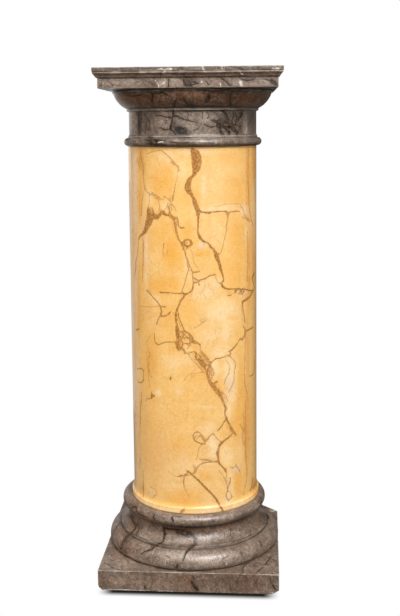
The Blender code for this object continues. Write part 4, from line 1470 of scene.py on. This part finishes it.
def cloud_group() -> bpy.types.NodeTree:
    """Makes the mottling: two layers of warped noise, the finer one weaker, as a mask from 0 to 1."""
    sheet, given, result = open_group("stone_clouds", {"Scale": "Float"}, ("Mask",))
    place, scale = given["Place"], given["Scale"]
    broad = sheet.times(sheet.noise(place, scale, 4.0, 0.6), 0.55)
    fine = sheet.noise(place, sheet.times(scale, 4.3), 3.0, 0.4)
    sheet.feed(result["Mask"], sheet.span(sheet.math("MULTIPLY_ADD", fine, 0.45, broad), 0.34, 0.66))
    return sheet.tree


def crackle_group() -> bpy.types.NodeTree:
    """Makes hairline veins: the borders of warped cells, kept only where a broad noise is high."""
    sheet, given, result = open_group("hair_crackle", {"Scale": "Float", "Width": "Float"}, ("Line",))
    place, scale = given["Place"], given["Scale"]
    moved = sheet.scaled(sheet.jitter(place, sheet.times(scale, 1.7)), sheet.math("DIVIDE", 0.9, scale))
    bent = {"Vector": sheet.vector("ADD", place, moved), "Scale": scale}
    cells = sheet.node("ShaderNodeTexVoronoi", bent, feature="DISTANCE_TO_EDGE").outputs["Distance"]
    kept = sheet.span(sheet.noise(place, sheet.times(scale, 0.6), 2.0), 0.48, 0.66)
    sheet.feed(result["Line"], sheet.times(sheet.span(cells, 0.0, given["Width"], 1.0, 0.0), kept))
    return sheet.tree


def wisp_group() -> bpy.types.NodeTree:
    """Makes wispy veins: the band where a detailed noise crosses its middle, kept where another is high."""
    sheet, given, result = open_group("stone_wisps", {"Scale": "Float", "Width": "Float"}, ("Line",))
    place, scale = given["Place"], given["Scale"]
    crossing = sheet.math("ABSOLUTE", sheet.math("SUBTRACT", sheet.noise(place, scale, 7.0, 0.9), 0.5))
    kept = sheet.span(sheet.noise(place, sheet.times(scale, 1.3), 2.0), 0.42, 0.62)
    sheet.feed(result["Line"], sheet.times(sheet.span(crossing, 0.0, given["Width"], 1.0, 0.0), kept))
    return sheet.tree


def wear_group() -> bpy.types.NodeTree:
    """Makes the wear of the arrises: their closeness, broken up by two sizes of noise."""
    sheet, given, result = open_group("edge_wear", {"Arris": "Float"}, ("Worn",))
    broad = sheet.span(sheet.noise(given["Place"], 45.0, 2.0), 0.35, 0.7)
    uneven = sheet.math("ADD", broad, sheet.times(sheet.noise(given["Place"], 330.0), 0.6))
    sheet.feed(result["Worn"], sheet.span(sheet.times(uneven, given["Arris"]), 0.30, 0.95))
    return sheet.tree


@dataclass(frozen=True)
class Effects:
    """The shared node groups."""

    vein: bpy.types.NodeTree
    clouds: bpy.types.NodeTree
    crackle: bpy.types.NodeTree
    wisps: bpy.types.NodeTree
    wear: bpy.types.NodeTree

    @classmethod
    def make(cls) -> "Effects":
        """Makes all of the groups."""
        return cls(vein_group(), cloud_group(), crackle_group(), wisp_group(), wear_group())


@dataclass(frozen=True)
class Broken:
    """How noise breaks up a mask: its scale and detail, where it sets in, and the least that it leaves."""

    scale: float
    detail: float = 3.0
    low: float = 0.3
    least: float = 0.6


CLOUDY = Broken(110.0)
# Noise that breaks up the painted shade.
SHADE_BREAK = Broken(70.0)
# Noise that breaks up the painted highlights.
GLINT_BREAK = Broken(60.0, 4.0, 0.35, 0.35)


def solid(colour: Colour) -> tuple[float, float, float, float]:
    """Adds full opacity to a colour."""
    return (*colour, 1.0)


@dataclass
class Paint:
    """The colour of one stone as it is being mixed: the ground first, then each layer over it."""

    sheet: Sheet
    effects: Effects
    place: bpy.types.NodeSocket
    colour: object

    def group(self, tree: bpy.types.NodeTree, inputs: dict[str, object]) -> Sockets:
        """Adds one of the shared effects and gives its outputs."""
        made = self.sheet.node("ShaderNodeGroup", {}, node_tree=tree)
        for name, value in ({"Place": self.place} | inputs).items():
            self.sheet.feed(made.inputs[name], value)
        return made.outputs

    def lay(self, mask: object, share: float, colour: object, way: str = "MIX") -> None:
        """Lays a colour over what is there, by a mask times a share."""
        over = solid(colour) if isinstance(colour, tuple) else colour
        self.colour = self.sheet.blend(self.sheet.times(mask, share), self.colour, over, way)

    def clouds(self, scale: float, share: float, colour: Colour) -> None:
        """Lays mottling over the colour."""
        self.lay(self.group(self.effects.clouds, {"Scale": scale})["Mask"], share, colour)

    def lines(
        self, tree: bpy.types.NodeTree, scale: float, width: float, share: float, colour: Colour
    ) -> None:
        """Lays hairline or wispy veins over the colour."""
        self.lay(self.group(tree, {"Scale": scale, "Width": width})["Line"], share, colour)

    def grain(self, scale: float, least: float, most: float) -> None:
        """Multiplies the colour by a fine grain between two brightnesses."""
        share = self.sheet.span(self.sheet.noise(self.place, scale), 0.3, 0.7, least, most)
        self.colour = self.sheet.scaled(self.colour, share)

    def stain(
        self, name: str, share: float, colour: Colour, broken: Broken = CLOUDY, way: str = "MIX"
    ) -> None:
        """Lays a colour where the mesh has one of its masks, broken up by noise.

        Args:
            name: Name of the mask's attribute.
            share: Share of the colour where the mask is full.
            colour: The colour.
            broken: How the noise breaks up the mask.
            way: The Mix node's blend type.
        """
        noise = self.sheet.noise(self.place, broken.scale, broken.detail)
        uneven = self.sheet.span(noise, broken.low, 0.6, broken.least, 1.0)
        self.lay(self.sheet.times(self.sheet.read(name), uneven), share, colour, way)

    def veins(
        self, prefix: str, ragged: float, firm: float, halo: float, colours: tuple[Colour, ...]
    ) -> None:
        """Lays the charted veins over the colour: a halo, then a core mottled between two browns.

        Args:
            prefix: Start of the chart's attribute names.
            ragged: Unevenness of the edges in metres.
            firm: What the core's mask is multiplied by.
            halo: Share of the halo.
            colours: The core's darker and lighter colour, and the halo's.
        """
        dark, light, rim = colours
        inputs = {"Offset": self.sheet.read(prefix + "_offset", "Vector"), "Ragged": ragged}
        for name in ("Size", "Gap", "Strength"):
            inputs[name] = self.sheet.read(f"{prefix}_{name.lower()}")
        vein = self.group(self.effects.vein, inputs)
        self.lay(vein["Halo"], halo, rim)
        mottled = self.sheet.span(self.sheet.noise(self.place, 260.0), 0.38, 0.62)
        self.lay(vein["Core"], firm, self.sheet.blend(mottled, solid(dark), solid(light)))


@dataclass(frozen=True)
class Marble:
    """A polished stone. Each kind of it lays its own layers."""

    slot: Stone
    ground: Colour
    roughness: float

    def layers(self, paint: Paint) -> bpy.types.NodeSocket:
        """Lays the layers over the ground and gives the roughness."""
        raise NotImplementedError

    def smudged(self, paint: Paint, scale: float, more: float) -> bpy.types.NodeSocket:
        """Gives the roughness of the polish, higher in broad smudges."""
        noise = paint.sheet.noise(paint.place, scale)
        return paint.sheet.span(noise, 0.3, 0.7, self.roughness, self.roughness + more)

    def build(self, effects: Effects) -> bpy.types.Material:
        """Makes the material, named as its slot.

        Args:
            effects: The shared node groups.

        Returns:
            The material.
        """
        material = bpy.data.materials.new(self.slot.value)
        sheet = Sheet.clear(material)
        place = sheet.node("ShaderNodeTexCoord", {}).outputs["Object"]
        paint = Paint(sheet, effects, place, solid(self.ground))
        roughness = self.layers(paint)
        inputs = {"Base Color": paint.colour, "Roughness": roughness}
        shader = sheet.node("ShaderNodeBsdfPrincipled", inputs).outputs[0]
        sheet.node("ShaderNodeOutputMaterial", {"Surface": shader}, is_active_output=True)
        return material


@dataclass(frozen=True)
class YellowMarble(Marble):
    """Polished yellow marble with rusty brown veins and honey clouds."""

    slot: Stone = Stone.SHAFT
    ground: Colour = (0.90, 0.535, 0.180)
    pale: Colour = (0.96, 0.64, 0.26)
    honey: Colour = (0.88, 0.43, 0.085)
    dusk: Colour = (0.76, 0.40, 0.15)
    lilac: Colour = (0.80, 0.62, 0.47)
    cream: Colour = (0.97, 0.73, 0.43)
    ember: Colour = (0.80, 0.34, 0.065)
    blush_reflection: Colour = (0.98, 0.68, 0.44)
    hair: Colour = (0.64, 0.31, 0.085)
    brown: Colour = (0.34, 0.140, 0.030)
    rust: Colour = (0.56, 0.255, 0.070)
    rim: Colour = (0.80, 0.46, 0.17)
    roughness: float = 0.13

    def layers(self, paint: Paint) -> bpy.types.NodeSocket:
        """Lays the clouds, the patches, the fine lines and the veins, then painted shade in the hollow
        corners and at the joints.
        """
        wisps, crackle = paint.effects.wisps, paint.effects.crackle
        paint.clouds(13.0, 0.50, self.pale)
        paint.clouds(21.0, 0.60, self.honey)
        paint.clouds(60.0, 0.22, self.pale)
        # Partly painted highlight on the foot fillet.
        paint.stain("cream", 0.85, self.cream)
        paint.stain("honey", 1.0, self.honey)
        # Painted shade along the outline.
        paint.stain("dusk", 0.6, self.dusk)
        # Partly painted shade along the outline.
        paint.stain("ember", 0.85, self.ember)
        # Painted reflection along the outline.
        paint.stain("blush_reflection", 0.85, self.blush_reflection)
        paint.stain("lilac", 0.8, self.lilac)
        paint.lines(wisps, 17.0, 0.010, 0.30, self.hair)
        paint.lines(wisps, 24.0, 0.012, 0.20, self.cream)
        paint.lines(crackle, 26.0, 0.050, 0.36, self.hair)
        paint.lines(crackle, 70.0, 0.10, 0.24, self.hair)
        paint.veins("vein", 2.7 * MM, 1.0, 0.14, (self.brown, self.rust, self.rim))
        paint.grain(480.0, 0.90, 1.06)
        # Painted shade in the hollow corners and at the joints, in rust brown.
        paint.stain("crease", 0.5, self.rust, SHADE_BREAK)
        return self.smudged(paint, 14.0, 0.08)


@dataclass(frozen=True)
class GreyMarble(Marble):
    """Polished grey-brown marble with dark veins, white flecks, rusty patches and pale arrises from wear,
    with painted shade in its hollows and painted highlights on its mouldings.
    """

    ground: Colour = (0.180, 0.122, 0.086)
    pale: Colour = (0.40, 0.31, 0.245)
    deep: Colour = (0.075, 0.047, 0.030)
    rust: Colour = (0.22, 0.125, 0.062)
    slate: Colour = (0.030, 0.024, 0.027)
    umber_tone_and_shade: Colour = (0.90, 0.58, 0.39)
    dark: Colour = (0.014, 0.008, 0.004)
    brown: Colour = (0.065, 0.038, 0.021)
    white: Colour = (0.66, 0.60, 0.52)
    worn: Colour = (0.52, 0.46, 0.38)
    roughness: float = 0.27

    def layers(self, paint: Paint) -> bpy.types.NodeSocket:
        """Lays the clouds, the patches, the fine lines, the veins, painted shade in hollows and under
        mouldings, painted highlights and the wear.
        """
        sheet, wisps, crackle = paint.sheet, paint.effects.wisps, paint.effects.crackle
        paint.clouds(26.0, 0.65, self.pale)
        paint.clouds(37.0, 0.80, self.deep)
        paint.clouds(88.0, 0.38, self.pale)
        paint.clouds(105.0, 0.42, self.deep)
        # The light and deep patches are partly painted highlight and painted shade.
        paint.stain("light", 0.85, self.pale)
        paint.stain("deep", 0.80, self.deep)
        paint.stain("rust", 0.75, self.rust)
        paint.stain("slate", 0.90, self.slate)
        # Painted warm shade, with a warm tone on the plinth front.
        paint.stain("umber_tone_and_shade", 1.0, self.umber_tone_and_shade, way="MULTIPLY")
        paint.lines(wisps, 26.0, 0.014, 0.85, self.brown)
        paint.lines(wisps, 50.0, 0.016, 0.85, self.brown)
        paint.lines(wisps, 38.0, 0.010, 0.65, self.pale)
        paint.lines(crackle, 38.0, 0.045, 0.85, self.brown)
        paint.lines(crackle, 30.0, 0.030, 0.5, self.pale)
        paint.veins("vein", 2.0 * MM, 1.35, 0.20, (self.dark, self.brown, self.deep))
        paint.veins("white", 1.6 * MM, 1.3, 0.05, (self.pale, self.white, self.pale))
        paint.grain(150.0, 0.82, 1.20)
        paint.grain(420.0, 0.74, 1.30)
        # Painted shade in hollow corners, under mouldings and at the joints.
        paint.stain("crease", 0.85, self.dark, SHADE_BREAK)
        # Painted highlights along the mouldings and fillets, partly wear.
        paint.stain("glint", 0.28, self.worn, GLINT_BREAK)
        worn = paint.group(paint.effects.wear, {"Arris": sheet.read("arris")})["Worn"]
        paint.lay(worn, 0.6, self.worn)
        return sheet.math("MULTIPLY_ADD", worn, 0.25, self.smudged(paint, 16.0, 0.10))


@dataclass(frozen=True)
class SoftBox:
    """A rectangular studio light aimed at the middle of the column."""

    name: str
    azimuth: float
    elevation: float
    distance: float
    width: float
    height: float
    watts: float
    aim: float = 0.55
    in_polish: bool = True
    in_shade: bool = True

    def build(self) -> bpy.types.Object:
        """Makes the light. Azimuth 0 is in front of the column, and 90 to its right."""
        data = bpy.data.lights.new(self.name, "AREA")
        data.shape = "RECTANGLE"
        data.size, data.size_y, data.energy = self.width, self.height, self.watts
        light = add_object(self.name, data)
        a, e = math.radians(self.azimuth), math.radians(self.elevation)
        back = Vector((math.sin(a) * math.cos(e), -math.cos(a) * math.cos(e), math.sin(e)))
        light.matrix_world = back.to_track_quat("Z", "Y").to_matrix().to_4x4()
        light.matrix_world.translation = Vector((0.0, 0.0, self.aim)) + back * self.distance
        light.visible_camera = False
        light.visible_glossy = self.in_polish
        light.visible_diffuse = self.in_shade
        return light


@dataclass(frozen=True)
class Studio:
    """The white studio: its lights, the dim light from all round and the floor with its contact shade."""

    ambient: float = 0.12
    ambient_polish: float = 0.06
    floor_half: float = 30.0
    shade_from: float = 0.190
    shade_reach: float = 0.028

    def lights(self) -> None:
        """Makes the lights."""
        boxes = (
            SoftBox("key_light", 26.0, 40.0, 5.0, 1.6, 1.4, 130.0),
            SoftBox("wide_light", 8.0, 38.0, 5.0, 5.0, 1.4, 72.0),
            SoftBox("window", 27.0, 33.0, 5.0, 4.6, 3.8, 205.0, in_shade=False),
            SoftBox("top_light", 0.0, 66.0, 4.0, 4.0, 2.5, 100.0),
            SoftBox("low_fill", 16.0, -2.0, 3.0, 1.5, 1.6, 9.5, in_polish=False),
            SoftBox("left_fill", -72.0, 8.0, 4.0, 1.0, 2.0, 72.0, in_polish=False),
            SoftBox("right_fill", 76.0, 8.0, 4.0, 1.0, 2.0, 38.0, in_polish=False),
            SoftBox("left_sheet", -154.0, 5.0, 3.0, 1.8, 1.3, 3.6, aim=-0.2),
            SoftBox("neck_sheet", -154.0, 0.0, 3.0, 1.8, 0.6, 3.4, aim=0.98),
            SoftBox("right_strip", 112.0, 5.0, 2.6, 0.3, 2.4, 0.9),
        )
        for box in boxes:
            box.build()

    def world(self) -> None:
        """Makes the surroundings: white to the camera, a dim grey to the stone."""
        world = bpy.data.worlds.new("studio_world")
        sheet = Sheet.clear(world)
        seen = sheet.node("ShaderNodeBackground", {"Color": (1.0, 1.0, 1.0, 1.0)}).outputs[0]
        path = sheet.node("ShaderNodeLightPath", {}).outputs
        strength = sheet.span(path["Is Glossy Ray"], 0.0, 1.0, self.ambient, self.ambient_polish)
        glow = {"Color": (1.0, 0.98, 0.96, 1.0), "Strength": strength}
        dim = sheet.node("ShaderNodeBackground", glow).outputs[0]
        both = sheet.node("ShaderNodeMixShader", {0: path["Is Camera Ray"], 1: dim, 2: seen}).outputs[0]
        sheet.node("ShaderNodeOutputWorld", {"Surface": both})
        bpy.context.scene.world = world

    def floor(self) -> None:
        """Makes the floor. Its shade lies before and behind the plinth, and dies away towards the corners."""
        mesh = bpy.data.meshes.new("floor")
        h = self.floor_half
        mesh.from_pydata([(-h, -h, 0.0), (h, -h, 0.0), (h, h, 0.0), (-h, h, 0.0)], [], [(0, 1, 2, 3)])
        made = add_object("floor", mesh)
        material = bpy.data.materials.new("studio_floor")
        sheet = Sheet.clear(material)
        place = sheet.node("ShaderNodeTexCoord", {}).outputs["Object"]
        axes = sheet.node("ShaderNodeSeparateXYZ", {0: place}).outputs
        side, front = (sheet.math("ABSOLUTE", axes[i]) for i in (0, 1))
        gap = sheet.math("SUBTRACT", front, self.shade_from)
        dark = sheet.span(gap, 0.006, self.shade_reach, 1.0, 0.0)
        wide = sheet.span(side, 0.156, 0.194, 1.0, 0.0)
        light = sheet.math("SUBTRACT", 1.0, sheet.math("MULTIPLY", dark, wide))
        colour = sheet.blend(light, (0.018, 0.014, 0.011, 1.0), (1.0, 1.0, 1.0, 1.0))
        glow = sheet.node("ShaderNodeEmission", {"Color": colour}).outputs[0]
        sheet.node("ShaderNodeOutputMaterial", {"Surface": glow})
        mesh.materials.append(material)
        made.visible_diffuse = made.visible_glossy = made.visible_shadow = False

    def build(self) -> None:
        """Makes the whole studio."""
        self.world()
        self.lights()
        self.floor()
        bpy.context.scene.view_settings.view_transform = "Standard"


@dataclass(frozen=True)
class Dressing:
    """What one stone wears: its skins' part, its vein charts, its patches and its finish."""

    part: Base | Shaft | Capital
    finish: YellowMarble | GreyMarble
    veins: dict[str, tuple[Vein, ...]]
    patches: dict[str, tuple[Patch, ...]]
    back_box: tuple[float, float, float, float]
    seed: int
    back_count: int

    def build(self, view: Viewpoint, effects: Effects) -> None:
        """Builds the stone's pieces, charts their veins and gives them their finish.

        Args:
            view: The picture's viewpoint.
            effects: The shared node groups.
        """
        skins = self.part.build()
        material = self.finish.build(effects)
        for skin in skins:
            skin.build().data.materials.append(material)
            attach(skin.made, "root")
            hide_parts(skin.node)
        for prefix, veins in self.veins.items():
            chart = VeinChart(skins)
            chart.lift(list(veins), view)
            count = self.back_count if prefix == "vein" else self.back_count // 3
            for side in (Side.LEFT_BACK, Side.RIGHT_BACK):
                seed = self.seed + int(side.value) + 300 * len(prefix)
                chart.lift(wandering(seed, count, self.back_box, 0.7), replace(view, turn=side.value), view)
            for skin in skins:
                chart.measure(skin, prefix)
        for skin in skins:
            for name, patches in self.patches.items():
                store_patches(skin, name, patches, view)
            LOG.info("%s: %d vertices, %d faces", skin.name, len(skin.points), len(skin.made.data.polygons))


def main() -> None:
    """Loads the solids, dresses the three stones and sets up the studio and the camera."""
    logging.basicConfig(level=logging.INFO, format="%(message)s")
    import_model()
    view = Viewpoint()
    effects = Effects.make()
    stones = (
        Dressing(
            Base(), GreyMarble(Stone.BASE), {"vein": BASE_VEINS, "white": BASE_WHITES}, BASE_PATCHES,
            back_box=(110.0, 510.0, 270.0, 590.0), seed=3, back_count=26,
        ),
        Dressing(
            Shaft(), YellowMarble(), {"vein": SHAFT_VEINS}, SHAFT_PATCHES,
            back_box=(135.0, 150.0, 250.0, 505.0), seed=5, back_count=34,
        ),
        Dressing(
            Capital(), GreyMarble(Stone.CAPITAL, ground=(0.165, 0.117, 0.086)),
            {"vein": CAPITAL_VEINS, "white": CAPITAL_WHITES}, CAPITAL_PATCHES,
            back_box=(100.0, 66.0, 280.0, 144.0), seed=7, back_count=26,
        ),
    )
    for stone in stones:
        stone.build(view, effects)
    Studio().build()
    view.build()


if __name__ == "__main__":
    main()
